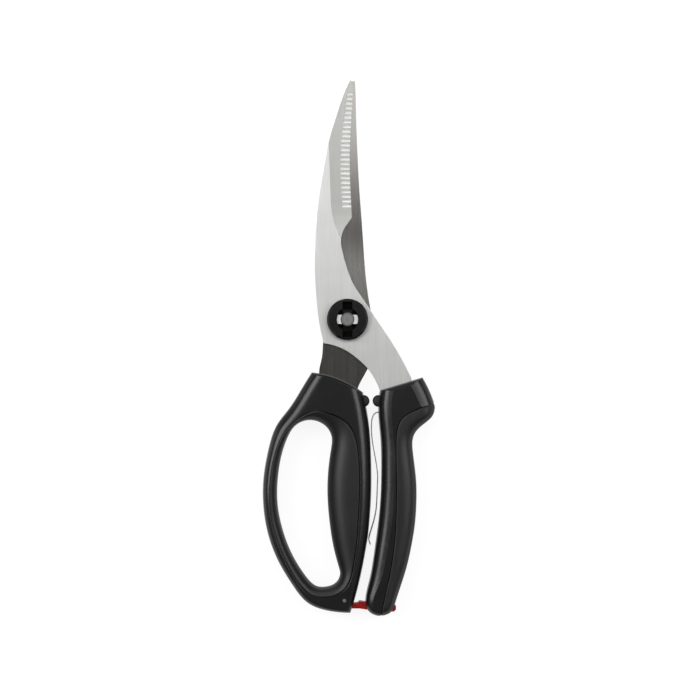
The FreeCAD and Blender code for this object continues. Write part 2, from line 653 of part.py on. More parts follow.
def build_bumper(name, share):
    """A soft stop, let into the edge of its handle."""
    body = new_body(name)
    sketch = sketch_in(body, f"{name}_circle", "XY_Plane", "0", *grip_place(share))
    draw_circle(sketch, "sizes.bumper_diameter")
    peg = thickened(body, "Pad", sketch, "sizes.bumper_length")
    doc.recompute()
    rounding = body.newObject("PartDesign::Fillet", f"{name}_rounding")
    half = size("bumper_length") / 2
    rounding.Base = (peg, edges_at_height(peg, half) + edges_at_height(peg, -half))
    rounding.setExpression("Radius", "sizes.bumper_round")
    return body


def latch_axis():
    """Height along the handles of the pin that the lever rocks on."""
    return -LOCK_SHARE[1] * size("grip_reach")


def catch_place():
    """Centre of the catch pin: over the free lever's hook by its radius and the latch's slack."""
    hook_top = latch_axis() + size("lever_height") / 2 + size("lever_rise")
    return CATCH_SHARE * size("grip_span"), hook_top + size("latch_slack") + size("catch_pin_diameter") / 2


def catch_expressions():
    """The same place as expressions of the sheet."""
    hook_top = f"-sizes.grip_reach * {LOCK_SHARE[1]} + sizes.lever_height / 2 + sizes.lever_rise"
    along = f"{hook_top} + sizes.latch_slack + sizes.catch_pin_diameter / 2"
    return f"sizes.grip_span * {CATCH_SHARE}", along


def latch_sine():
    """Sine of the lever's turn from free to latched."""
    return math.sin(math.radians(size("latch_turn")))


def barb_wall():
    """Where the hook's inner wall stands on the free lever, so that it clears the pin once latched."""
    pin_across, pin_along = catch_place()
    sway = (pin_along - latch_axis()) * latch_sine()
    return pin_across - size("catch_pin_diameter") / 2 - size("latch_slack") - sway


def lever_end():
    """How far the hooked end of the lever reaches to the left."""
    return barb_wall() - size("barb_width")


def build_loop_core(back_blade, bumper):
    """Hard frame of the finger loop, moulded round the back blade's tang and the stop."""
    body = new_body("loop_core_form")
    half = "sizes.handle_thickness / 2"
    handle_form(body, "loop_form", (LOOP_BOW_SHARES, LOOP_INSIDE_SHARES, LOOP_TOP_SHARES), half)
    seam = on_grip(LINER_SHARES)
    ring_cut(body, "loop_seam", seam, [size("seam_round")] * len(seam), half, "sizes.seam_depth", ruled=True)
    rib = sketch_in(body, "loop_rib")
    draw_polygon(rib, on_grip(LOOP_RIB_SHARES))
    thickened(body, "Pad", rib, "sizes.rib_thickness")
    drilled(body, "catch_hole", *catch_expressions(), "sizes.catch_pin_diameter + 2 * sizes.press_gap")
    slot = sketch_in(body, "latch_slot")
    left = lever_end() - size("close_travel")
    right = size("grip_span") / 2
    roof = catch_place()[1] + size("slot_roof")
    floor = -size("grip_reach") - size("overrun")
    draw_polygon(slot, [V(left, floor, 0), V(right, floor, 0), V(right, roof, 0), V(left, roof, 0)])
    thickened(body, "Pocket", slot, "sizes.lever_thickness + 2 * sizes.lever_slack")
    inserts = joined("loop_inserts", "MultiFuse", Shapes=[back_blade, bumper])
    return joined("loop_core", "Cut", Base=body, Tool=inserts)


def build_loop_liner():
    """Soft lining of the finger loop, thick over the bar and thin round the bow."""
    body = new_body("loop_liner")
    half = "(sizes.handle_thickness / 2 - sizes.soft_setback)"
    outline = on_grip(LINER_SHARES)
    pace = pace_of(outline, closed=True)

    def runs_at(share):
        inset = size("seam_gap") + size("lip_round") * share
        return [curve_through(shifted(outline, [-inset] * len(outline), closed=True), pace, closed=True)]

    steps = levels(half, "sizes.lip_depth", ROUND_ANGLES, 1)
    lofted(body, "AdditiveLoft", section_sketches(body, "liner", steps, runs_at), ruled=True)
    opening = on_grip(FINGER_SHARES)
    flares = [point[2] * size("finger_round") for point in FINGER_SHARES]
    ring_cut(body, "finger_opening", opening, flares, half, f"({half} - sizes.finger_flat / 2)", ruled=False)
    rib = sketch_in(body, "liner_rib_slot")
    draw_polygon(rib, on_grip(LOOP_RIB_SHARES))
    thickened(body, "Pocket", rib, "sizes.rib_thickness")
    return body


def lever_slot(body, name):
    """The slot that the lock lever rocks in, right through the end of the thumb handle."""
    right = size("grip_span") / 2
    roof = latch_axis() + size("lever_height") / 2 + size("lever_rise") + size("slot_room")
    floor = latch_axis() - size("lever_height") / 2 - size("slot_drop")
    slot = sketch_in(body, name)
    draw_polygon(slot, [V(0, floor, 0), V(right, floor, 0), V(right, roof, 0), V(0, roof, 0)])
    return thickened(body, "Pocket", slot, "sizes.lever_thickness + 2 * sizes.lever_slack")


def strip_outline(points, half):
    """The two sides of a strip about a line of points."""
    amounts = [half] * len(points)
    return shifted(points, amounts), shifted(points, [-amount for amount in amounts])


def draw_strip(sketch, points, half):
    """A closed strip about a line of points."""
    left, right = strip_outline(points, half)
    sketch.addGeometry(curve_through(left))
    sketch.addGeometry(Part.LineSegment(left[-1], right[-1]))
    sketch.addGeometry(curve_through(right[::-1]))
    sketch.addGeometry(Part.LineSegment(right[0], left[0]))


def build_thumb_core(front_blade, bumper):
    """Hard spine and spur of the thumb handle, moulded round the front blade's tang and the stop."""
    body = new_body("thumb_core_form")
    half = "sizes.handle_thickness / 2"
    handle_form(body, "thumb_form", (THUMB_SIDE_SHARES, THUMB_TOP_SHARES), half)
    seam_cut(body, "thumb_seam", PAD_SIDE_SHARES, 0, size("seam_round"), half, "sizes.seam_depth")
    rib = sketch_in(body, "thumb_rib")
    draw_polygon(rib, on_grip(THUMB_RIB_SHARES))
    thickened(body, "Pad", rib, "sizes.rib_thickness")
    lever_slot(body, "thumb_lever_slot")
    across, along = grip_place(LOCK_SHARE)
    hole = sketch_in(body, "lock_pin_hole", lift="-sizes.handle_thickness / 2", across=across, along=along)
    draw_circle(hole, "sizes.lock_pin_diameter + 2 * sizes.press_gap")
    thickened(body, "Pocket", hole, "sizes.handle_thickness - sizes.lock_pin_cover", "One side", reverse=True)
    root = sketch_in(body, "spring_slot")
    draw_strip(root, on_grip(SPRING_SHARES), size("spring_thickness") / 2 + size("spring_slack"))
    thickened(body, "Pocket", root, "sizes.spring_width + 2 * sizes.spring_slack")
    inserts = joined("thumb_inserts", "MultiFuse", Shapes=[front_blade, bumper])
    return joined("thumb_core", "Cut", Base=body, Tool=inserts)


def build_thumb_pad():
    """Soft pad over the outer side of the thumb handle."""
    body = new_body("thumb_pad")
    half = "(sizes.handle_thickness / 2 - sizes.soft_setback)"
    handle_form(body, "pad_form", (THUMB_SIDE_SHARES, THUMB_TOP_SHARES), half)
    lip = -size("lip_round")
    seam_cut(body, "pad_seam", CORE_SIDE_SHARES, -size("seam_gap"), lip, half, "sizes.lip_depth")
    rib = sketch_in(body, "pad_rib_slot")
    draw_polygon(rib, on_grip(THUMB_RIB_SHARES))
    thickened(body, "Pocket", rib, "sizes.rib_thickness")
    lever_slot(body, "pad_lever_slot")
    return body


def build_leaf_spring():
    """Bent strip rooted in the thumb handle, whose curled tip slides on the loop handle."""
    body = new_body("leaf_spring")
    sketch = sketch_in(body, "spring_strip")
    draw_strip(sketch, on_grip(SPRING_SHARES), size("spring_thickness") / 2)
    thickened(body, "Pad", sketch, "sizes.spring_width")
    return body


def build_lock_lever():
    """Rocker through the end of the thumb handle: notched latch on the left, thumb tab on the right."""
    body = new_body("lock_lever")
    axis = latch_axis()
    half = size("lever_height") / 2
    rise = size("lever_rise")
    lock_across = LOCK_SHARE[0] * size("grip_span")
    pin_across, pin_along = catch_place()
    pin = size("catch_pin_diameter") / 2 + size("latch_slack")
    turn = latch_sine()
    dip_left = barb_wall()
    dip_right = pin_across + pin + size("close_travel")
    end = lever_end()
    chamfer = size("barb_width") / 2
    tab = TAB_SHARE[0] * size("grip_span") + size("tab_rise")
    tab_axis = -TAB_SHARE[1] * size("grip_reach")
    sketch = sketch_in(body, "lever_outline")
    draw_polygon(sketch, [
        V(end, axis - half + rise, 0),
        V(dip_right + chamfer, axis - half + rise, 0),
        V(lock_across, axis - half, 0),
        V(tab - half, tab_axis - half, 0),
        V(tab - chamfer, tab_axis - half, 0),
        V(tab, tab_axis - half + chamfer, 0),
        V(tab, tab_axis + half - chamfer, 0),
        V(tab - chamfer, tab_axis + half, 0),
        V(lock_across, axis + half, 0),
        V(dip_right + chamfer, axis + half + rise, 0),
        V(dip_right, pin_along - pin - (lock_across - dip_right) * turn, 0),
        V(dip_left, pin_along - pin - (lock_across - dip_left) * turn, 0),
        V(dip_left, axis + half + rise, 0),
        V(end + chamfer, axis + half + rise, 0),
        V(end, axis + half + rise - chamfer, 0),
    ])
    thickened(body, "Pad", sketch, "sizes.lever_thickness")
    boss = sketch_in(body, "lever_boss_circle", "XY_Plane", "0", *grip_place(LOCK_SHARE))
    draw_circle(boss, "sizes.lever_boss")
    thickened(body, "Pad", boss, "sizes.lever_thickness")
    drilled(body, "lever_bore", *grip_place(LOCK_SHARE), "sizes.lock_pin_diameter + 2 * sizes.running_gap")
    return body


def build_pin(name, place, cover):
    """A plain pin, square to the blades, from just inside the back of a handle to its cover in front."""
    pin = doc.addObject("Part::Cylinder", name)
    pin.Label = name
    pin.setExpression("Radius", f"sizes.{name}_diameter / 2")
    pin.setExpression("Height", f"sizes.handle_thickness - sizes.pin_recess - {cover}")
    seat(pin, *place, "sizes.pin_recess - sizes.handle_thickness / 2")
    return pin


front_blade = build_front_blade()
back_blade = build_back_blade()
loop_bumper = build_bumper("loop_bumper", LOOP_BUMPER_SHARE)
thumb_bumper = build_bumper("thumb_bumper", THUMB_BUMPER_SHARE)
pieces = [
    front_blade,
    back_blade,
    build_pivot_bolt(),
    build_pivot_washer(),
    build_keyhole_ring(),
    build_loop_core(back_blade, loop_bumper),
    build_loop_liner(),
    loop_bumper,
    build_thumb_core(front_blade, thumb_bumper),
    build_thumb_pad(),
    thumb_bumper,
    build_leaf_spring(),
    build_lock_lever(),
    build_pin("lock_pin", grip_place(LOCK_SHARE), "sizes.lock_pin_cover"),
    build_pin("catch_pin", catch_expressions(), "sizes.pin_recess"),
]
doc.recompute()

for item in doc.Objects:
    if "Invalid" in item.State or "Error" in item.State:
        raise RuntimeError(f"{item.Label} did not compute: {item.State}")
for piece in pieces:
    if piece.Shape.isNull() or not piece.Shape.isValid() or not piece.Shape.Solids:
        raise RuntimeError(f"{piece.Label} has no valid solid")

os.makedirs("parts", exist_ok=True)
for piece in pieces:
    piece.Shape.exportStep(os.path.join("parts", f"{piece.Label}.step"))
    print(piece.Label, len(piece.Shape.Solids), round(piece.Shape.Volume, 1))
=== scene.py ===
"""Kitchen shears: soft grips, stops, spring, finishes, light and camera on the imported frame."""

import json
import logging
import math
from dataclasses import dataclass
from enum import Enum

import bmesh
import bpy
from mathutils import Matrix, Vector

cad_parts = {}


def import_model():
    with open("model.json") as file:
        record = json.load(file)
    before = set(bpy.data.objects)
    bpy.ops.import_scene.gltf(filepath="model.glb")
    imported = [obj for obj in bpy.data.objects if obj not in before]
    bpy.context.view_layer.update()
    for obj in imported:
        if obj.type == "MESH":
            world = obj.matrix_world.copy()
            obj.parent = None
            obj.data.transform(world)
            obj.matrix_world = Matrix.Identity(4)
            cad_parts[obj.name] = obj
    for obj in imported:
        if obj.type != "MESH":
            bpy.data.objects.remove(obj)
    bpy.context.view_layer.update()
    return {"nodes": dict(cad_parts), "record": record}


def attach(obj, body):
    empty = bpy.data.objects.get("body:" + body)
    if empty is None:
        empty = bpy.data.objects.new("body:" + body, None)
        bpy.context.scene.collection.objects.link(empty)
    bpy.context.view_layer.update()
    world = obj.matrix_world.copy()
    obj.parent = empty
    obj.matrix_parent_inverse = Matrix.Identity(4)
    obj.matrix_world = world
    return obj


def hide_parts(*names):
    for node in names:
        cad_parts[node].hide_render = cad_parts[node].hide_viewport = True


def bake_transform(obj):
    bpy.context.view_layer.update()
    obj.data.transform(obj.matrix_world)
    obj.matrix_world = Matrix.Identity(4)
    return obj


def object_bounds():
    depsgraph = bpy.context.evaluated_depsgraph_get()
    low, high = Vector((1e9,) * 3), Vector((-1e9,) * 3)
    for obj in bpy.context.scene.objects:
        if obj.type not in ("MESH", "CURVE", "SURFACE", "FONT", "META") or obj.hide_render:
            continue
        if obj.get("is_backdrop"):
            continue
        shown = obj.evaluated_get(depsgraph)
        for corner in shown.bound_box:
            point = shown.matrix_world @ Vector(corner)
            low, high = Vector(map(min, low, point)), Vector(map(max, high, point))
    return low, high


log = logging.getLogger("kitchen_shears")

MM = 0.001
# Points nearer to each other than this many millimetres are one point.
MERGE = 0.001
# How far the middle of a rounded corner is cut back, as a share of its radius: 1 - cos(45 degrees).
CORNER_CUT = 0.29
# How often the smooth pieces are divided, and how many faces round an edge.
SMOOTH_LEVELS = 3
EDGE_SEGMENTS = 2
# Passes that bring a cage line's curve onto its points.
CAGE_PASSES = 12
# A wave texture turns by this angle in one unit.
WAVE_RADIANS = 20
# How straight up or down a moulded surface looks where its side wall ends and where its front begins.
WALL_TILT = (0.45, 0.72)
# How far a wall looks towards the blades where it starts to dull and where it is fully dull.
END_TILT = (0.2, 0.5)
# The middle of the picture in the frame, in millimetres.
PICTURE_MIDDLE = (0.433, -1.25, 0.0)


class Body(str, Enum):
    """The bodies that pieces ride on."""

    LOOP = "loop_half"
    THUMB = "thumb_half"


class Slot(str, Enum):
    """The record's material slots of the new pieces."""

    SOFT = "soft_black"
    BUMPER = "bumper_grey"
    SPRING = "spring_steel"


# Shared small functions


def linear(code: str) -> tuple[float, float, float, float]:
    """Turns an sRGB hex colour to linear.

    Args:
        code: the colour, such as "#20201f".

    Returns:
        Red, green, blue and alpha.
    """
    channels = [int(code[index:index + 2], 16) / 255 for index in (1, 3, 5)]
    bent = [value / 12.92 if value <= 0.04045 else ((value + 0.055) / 1.055) ** 2.4 for value in channels]
    return (*bent, 1.0)


def per(size_mm: float) -> float:
    """The pattern scale that repeats once in this many millimetres."""
    return 1 / (size_mm * MM)


def add(
    tree: bpy.types.NodeTree,
    kind: str,
    links: dict[str | int, object] | None = None,
    **settings: object,
) -> bpy.types.Node:
    """Adds a node with its settings and links.

    Args:
        tree: the tree that takes the node.
        kind: Blender's name for this kind of node.
        links: for each input, the socket that feeds it or its own value.
        settings: attributes of the node.

    Returns:
        The new node.
    """
    node = tree.nodes.new(kind)
    for name, value in settings.items():
        setattr(node, name, value)
    for name, value in (links or {}).items():
        if isinstance(value, bpy.types.NodeSocket):
            tree.links.new(value, node.inputs[name])
        else:
            node.inputs[name].default_value = value
    return node


def blank(name: str) -> tuple[bpy.types.Material, bpy.types.NodeTree, bpy.types.Node]:
    """Starts a material.

    Args:
        name: the material's name.

    Returns:
        The material, its node tree and its shader node.
    """
    material = bpy.data.materials.new(name)
    material.use_nodes = True
    tree = material.node_tree
    return material, tree, tree.nodes["Principled BSDF"]


def top_shine(
    tree: bpy.types.NodeTree, normal: bpy.types.NodeSocket, side: float, full: float, end: float
) -> bpy.types.NodeSocket:
    """Makes the shine of a moulded piece, full on its front and back and weaker down its walls.

    Args:
        tree: the material's tree.
        normal: the surface's own direction.
        side: the specular level on the side walls.
        full: the specular level on the front and back, where a plain one is 0.5.
        end: share of it that is left on the walls that face the blades.

    Returns:
        The specular level.
    """
    way = add(tree, "ShaderNodeSeparateXYZ", {0: normal})
    facing = add(tree, "ShaderNodeMath", {0: way.outputs["Z"]}, operation="ABSOLUTE")
    low, high = WALL_TILT
    fade = {"Value": facing.outputs[0], "From Min": low, "From Max": high, "To Min": side, "To Max": full}
    walls = add(tree, "ShaderNodeMapRange", fade, interpolation_type="SMOOTHSTEP")
    low, high = END_TILT
    ahead = {"Value": way.outputs["Y"], "From Min": low, "From Max": high, "To Min": 1.0, "To Max": end}
    dull = add(tree, "ShaderNodeMapRange", ahead, interpolation_type="SMOOTHSTEP")
    shine = {0: walls.outputs[0], 1: dull.outputs[0]}
    return add(tree, "ShaderNodeMath", shine, operation="MULTIPLY").outputs[0]


def through(points: list[Vector], closed: bool) -> list[Vector]:
    """Finds a cage line whose subdivided curve passes through the points.

    Args:
        points: where the smooth curve has to pass.
        closed: whether the line closes on itself.

    Returns:
        One cage point for each point.
    """
    # A subdivided curve passes a cage point at a sixth of its neighbours and four sixths of itself.
    cage = [point.copy() for point in points]
    picks = range(len(points)) if closed else range(1, len(points) - 1)
    for _ in range(CAGE_PASSES):
        for index in picks:
            after = cage[(index + 1) % len(cage)]
            cage[index] += points[index] - (cage[index - 1] + 4 * cage[index] + after) / 6
    return cage


def swept(mesh: bmesh.types.BMesh, lines: list[list[Vector]], closed: bool) -> None:
    """Extrudes a closed line from one place to the next.

    Args:
        mesh: the mesh that takes the skin.
        lines: the corners of the line at each place, as many every time.
        closed: whether the last line joins the first; otherwise both ends are filled.
    """
    corners = [mesh.verts.new(point) for point in lines[0]]
    edges = [mesh.edges.new(pair) for pair in zip(corners, corners[1:] + corners[:1])]
    first = edges
    for line in lines[1:]:
        grown = bmesh.ops.extrude_edge_only(mesh, edges=edges)["geom"]
        fresh = {item for item in grown if isinstance(item, bmesh.types.BMVert)}
        grown_edges = [item for item in grown if isinstance(item, bmesh.types.BMEdge)]
        edges = [edge for edge in grown_edges if fresh.issuperset(edge.verts)]
        others = [[edge.other_vert(corner) for edge in corner.link_edges] for corner in corners]
        corners = [next(other for other in near if other in fresh) for near in others]
        for corner, point in zip(corners, line):
            corner.co = point
    if closed:
        bmesh.ops.bridge_loops(mesh, edges=edges + first)
    else:
        for ring in (first, edges):
            bmesh.ops.edgeloop_fill(mesh, edges=ring)


def finished(mesh: bmesh.types.BMesh, name: str) -> bpy.types.Object:
    """Turns a modelled mesh to a smooth shaded object at the origin.

    Args:
        mesh: the mesh, which is freed.
        name: the piece's name.

    Returns:
        The new object.
    """
    bmesh.ops.remove_doubles(mesh, verts=mesh.verts, dist=MERGE * MM)
    bmesh.ops.recalc_face_normals(mesh, faces=mesh.faces)
    for face in mesh.faces:
        face.smooth = True
    data = bpy.data.meshes.new(name)
    mesh.to_mesh(data)
    mesh.free()
    piece = bpy.data.objects.new(name, data)
    bpy.context.scene.collection.objects.link(piece)
    return piece


def subdivided(piece: bpy.types.Object) -> None:
    """Gives a piece a live subdivision surface.

    Args:
        piece: the piece.
    """
    smooth = piece.modifiers.new("smooth", "SUBSURF")
    smooth.levels = SMOOTH_LEVELS
    smooth.render_levels = SMOOTH_LEVELS
    smooth.boundary_smooth = "PRESERVE_CORNERS"


def edged(piece: bpy.types.Object, width: float) -> None:
    """Gives a piece live rounded edges.

    Args:
        piece: the piece.
        width: how far the rounding reaches from an edge, in millimetres.
    """
    bevel = piece.modifiers.new("edges", "BEVEL")
    bevel.width = width * MM
    bevel.segments = EDGE_SEGMENTS
    bevel.limit_method = "ANGLE"


def dressed(piece: bpy.types.Object, material: bpy.types.Material) -> None:
    """Gives a piece its only material, and reports it.

    Args:
        piece: the piece.
        material: its finish.
    """
    piece.data.materials.clear()
    piece.data.materials.append(material)
    log.info("%s: %s", piece.name, material.name)


# Finishes


@dataclass(frozen=True)
class GroundSteel:
    """Stainless steel, ground along the blade: satin flats, a finer bevel and cut flutes with a painted
    highlight.
    """

    # The belt gives the eye a pale, silky face with faint lines along the blade.
    flat: str = "#e8e8e6"
    bevel: str = "#a4a4a1"
    # Near-white of the flutes: a painted highlight.
    flute_highlight: str = "#fbfbf8"
    flat_rough: float = 0.42
    bevel_rough: float = 0.34
    rough_spread: float = 0.06
    # Sideways tilt of the surface where the flat ends and where the bevel is reached.
    bevel_tilt: tuple[float, float] = (0.07, 0.15)
    # An upward face that tilts along the blade by more than this is the wall of a flute.
    flute_tilt: float = 0.3
    upward_tilt: float = 0.5
    # Real grinding lines are about 0.05 mm apart; they are drawn coarser, so that the render shows them.
    grain_width: float = 0.45
    grain_length: float = 24.0
    grain_depth: float = 0.05
    grain_strength: float = 0.08
    grain_tone: tuple[float, float] = (0.9, 1.08)
    # The belt leaves broad paler and darker patches.
    patch: float = 9.0
    patch_tone: tuple[float, float] = (0.93, 1.04)
    # Edges broken with a stone after grinding.
    edge: float = 0.3
    edge_samples: int = 6

    def paint(self) -> bpy.types.Material:
        """Makes the material.

        Returns:
            Metal whose tone and gloss follow the slope of the ground faces.
        """
        material, tree, shader = blank("ground_stainless_steel")
        place = add(tree, "ShaderNodeTexCoord")
        scale = (per(self.grain_width), per(self.grain_length), per(self.grain_length))
        grain = add(tree, "ShaderNodeMapping", {"Vector": place.outputs["Object"], "Scale": scale})
        fine = {"Vector": grain.outputs[0], "Scale": 1.0, "Detail": 4.0}
        streak = add(tree, "ShaderNodeTexNoise", fine)
        broad = {"Vector": place.outputs["Object"], "Scale": per(self.patch), "Detail": 3.0}
        cloud = add(tree, "ShaderNodeTexNoise", broad)

        # Which face of the blade this is: flat, bevel or flute.
        way = add(tree, "ShaderNodeSeparateXYZ", {0: place.outputs["Normal"]})
        low, high = self.bevel_tilt
        slope = {"Value": way.outputs["X"], "From Min": low, "From Max": high}
        on_bevel = add(tree, "ShaderNodeMapRange", slope, interpolation_type="SMOOTHSTEP")
        turned = add(tree, "ShaderNodeMath", {0: way.outputs["Y"]}, operation="ABSOLUTE")
        steep = {0: turned.outputs[0], 1: self.flute_tilt}
        cut = add(tree, "ShaderNodeMath", steep, operation="GREATER_THAN")
        front = {0: way.outputs["Z"], 1: self.upward_tilt}
        upward = add(tree, "ShaderNodeMath", front, operation="GREATER_THAN")
        both = {0: cut.outputs[0], 1: upward.outputs[0]}
        on_flute = add(tree, "ShaderNodeMath", both, operation="MULTIPLY")

        tones = {0: on_bevel.outputs[0], 6: linear(self.flat), 7: linear(self.bevel)}
        faces = add(tree, "ShaderNodeMix", tones, data_type="RGBA")
        # Painted highlight: the flutes take a near-white colour.
        tones = {0: on_flute.outputs[0], 6: faces.outputs[2], 7: linear(self.flute_highlight)}
        steel = add(tree, "ShaderNodeMix", tones, data_type="RGBA")
        low, high = self.grain_tone
        change = {"Value": streak.outputs["Fac"], "To Min": low, "To Max": high}
        shade = add(tree, "ShaderNodeMapRange", change)
        low, high = self.patch_tone
        change = {"Value": cloud.outputs["Fac"], "To Min": low, "To Max": high}
        belt = add(tree, "ShaderNodeMapRange", change)
        both = {0: shade.outputs[0], 1: belt.outputs[0]}
        marks = add(tree, "ShaderNodeMath", both, operation="MULTIPLY")
        tones = {0: 1.0, 6: steel.outputs[2], 7: marks.outputs[0]}
        ground = add(tree, "ShaderNodeMix", tones, data_type="RGBA", blend_type="MULTIPLY")

        gloss = {"Value": on_bevel.outputs[0], "To Min": self.flat_rough, "To Max": self.bevel_rough}
        finer = add(tree, "ShaderNodeMapRange", gloss)
        spread = {"Value": streak.outputs["Fac"], "To Min": -self.rough_spread, "To Max": self.rough_spread}
        patchy = add(tree, "ShaderNodeMapRange", spread)
        rough = add(tree, "ShaderNodeMath", {0: finer.outputs[0], 1: patchy.outputs[0]})
        # The flutes carry a painted highlight: they are painted near-white and not metallic, standing in for
        # the light that they reflect.
        mirror = add(tree, "ShaderNodeMath", {0: 1.0, 1: on_flute.outputs[0]}, operation="SUBTRACT")

        edges = add(tree, "ShaderNodeBevel", {"Radius": self.edge * MM}, samples=self.edge_samples)
        lines = {
            "Height": streak.outputs["Fac"], "Strength": self.grain_strength,
            "Distance": self.grain_depth * MM, "Normal": edges.outputs[0],
        }
        relief = add(tree, "ShaderNodeBump", lines)
        tree.links.new(ground.outputs[2], shader.inputs["Base Color"])
        tree.links.new(rough.outputs[0], shader.inputs["Roughness"])
        tree.links.new(mirror.outputs[0], shader.inputs["Metallic"])
        tree.links.new(relief.outputs[0], shader.inputs["Normal"])
        return material


@dataclass(frozen=True)
class PolishedSteel:
    """Stainless steel with a fine polished inner face, slightly warm, that mirrors what is above it, with
    painted shade round the bolt.
    """

    # Polishing gives the eye a soft mirror: bright where it faces a lamp, and dark grey beside it.
    pivot: Vector
    inner: str = "#adaba7"
    outer: str = "#d4d4d2"
    inner_rough: float = 0.17
    outer_rough: float = 0.42
    rough_spread: float = 0.05
    # Only the inner face looks up this straight.
    inner_tilt: float = 0.9
    # Polishing lines, drawn coarser than the real ones so that the render shows them.
    line_width: float = 0.9
    line_length: float = 40.0
    line_tone: tuple[float, float] = (0.88, 1.1)
    # Distances beyond the pivot where the belly of the blade is polished less, and its added roughness.
    belly: tuple[float, float, float, float] = (-6.0, 6.0, 24.0, 46.0)
    belly_rough: float = 0.11
    # Painted shade round the bolt: darker steel there stands in for the shade deep in the keyway, and is
    # seen only through it.
    keyway_shade_radius: float = 7.0
    keyway_shade_fade: float = 1.0
    keyway_shade_tone: float = 0.12

    def paint(self) -> bpy.types.Material:
        """Makes the material.

        Returns:
            Metal that is glossy on its inner face and satin on its other faces.
        """
        material, tree, shader = blank("polished_stainless_steel")
        place = add(tree, "ShaderNodeTexCoord")
        scale = (per(self.line_width), per(self.line_length), per(self.line_length))
        grain = add(tree, "ShaderNodeMapping", {"Vector": place.outputs["Object"], "Scale": scale})
        fine = {"Vector": grain.outputs[0], "Scale": 1.0, "Detail": 3.0}
        streak = add(tree, "ShaderNodeTexNoise", fine)
        way = add(tree, "ShaderNodeSeparateXYZ", {0: place.outputs["Normal"]})
        upward = {0: way.outputs["Z"], 1: self.inner_tilt}
        inside = add(tree, "ShaderNodeMath", upward, operation="GREATER_THAN")

        # How far into the belly this is, from 0 to 1.
        home = {"Vector": place.outputs["Object"], "Location": -self.pivot}
        about = add(tree, "ShaderNodeMapping", home)
        axes = add(tree, "ShaderNodeSeparateXYZ", {0: about.outputs[0]})
        low, lower, higher, high = (distance * MM for distance in self.belly)
        rise = {"Value": axes.outputs["Y"], "From Min": low, "From Max": lower}
        enter = add(tree, "ShaderNodeMapRange", rise, interpolation_type="SMOOTHSTEP")
        fall = {
            "Value": axes.outputs["Y"], "From Min": higher, "From Max": high,
            "To Min": 1.0, "To Max": 0.0,
        }
        leave = add(tree, "ShaderNodeMapRange", fall, interpolation_type="SMOOTHSTEP")
        both = {0: enter.outputs[0], 1: leave.outputs[0]}
        middle = add(tree, "ShaderNodeMath", both, operation="MULTIPLY")

        tones = {0: inside.outputs[0], 6: linear(self.outer), 7: linear(self.inner)}
        steel = add(tree, "ShaderNodeMix", tones, data_type="RGBA")
        low, high = self.line_tone
        change = {"Value": streak.outputs["Fac"], "To Min": low, "To Max": high}
        shade = add(tree, "ShaderNodeMapRange", change)
        level = {0: about.outputs[0], 1: (1.0, 1.0, 0.0)}
        flat = add(tree, "ShaderNodeVectorMath", level, operation="MULTIPLY")
        radius = add(tree, "ShaderNodeVectorMath", {0: flat.outputs[0]}, operation="LENGTH")
        # Painted shade: the steel darkens within this radius of the pivot, standing in for the shade seen
        # down the keyway.
        dark = {
            "Value": radius.outputs["Value"],
            "From Min": self.keyway_shade_radius * MM, "From Max": (self.keyway_shade_radius + self.keyway_shade_fade) * MM,
            "To Min": self.keyway_shade_tone, "To Max": 1.0,
        }
        keyway_shaded = add(tree, "ShaderNodeMapRange", dark)
        # The polishing lines and the painted shade round the bolt darken the steel together.
        both = {0: shade.outputs[0], 1: keyway_shaded.outputs[0]}
        marks = add(tree, "ShaderNodeMath", both, operation="MULTIPLY")
        tones = {0: 1.0, 6: steel.outputs[2], 7: marks.outputs[0]}
        lined_and_shaded = add(tree, "ShaderNodeMix", tones, data_type="RGBA", blend_type="MULTIPLY")

        faces = {"Value": inside.outputs[0], "To Min": self.outer_rough, "To Max": self.inner_rough}
        gloss = add(tree, "ShaderNodeMapRange", faces)
        spread = {"Value": streak.outputs["Fac"], "To Min": -self.rough_spread, "To Max": self.rough_spread}
        patchy = add(tree, "ShaderNodeMapRange", spread)
        dull = {"Value": middle.outputs[0], "To Min": 0.0, "To Max": self.belly_rough}
        unpolished = add(tree, "ShaderNodeMapRange", dull)
        uneven = add(tree, "ShaderNodeMath", {0: gloss.outputs[0], 1: patchy.outputs[0]})
        rough = add(tree, "ShaderNodeMath", {0: uneven.outputs[0], 1: unpolished.outputs[0]})
        tree.links.new(lined_and_shaded.outputs[2], shader.inputs["Base Color"])
        tree.links.new(rough.outputs[0], shader.inputs["Roughness"])
        shader.inputs["Metallic"].default_value = 1.0
        return material


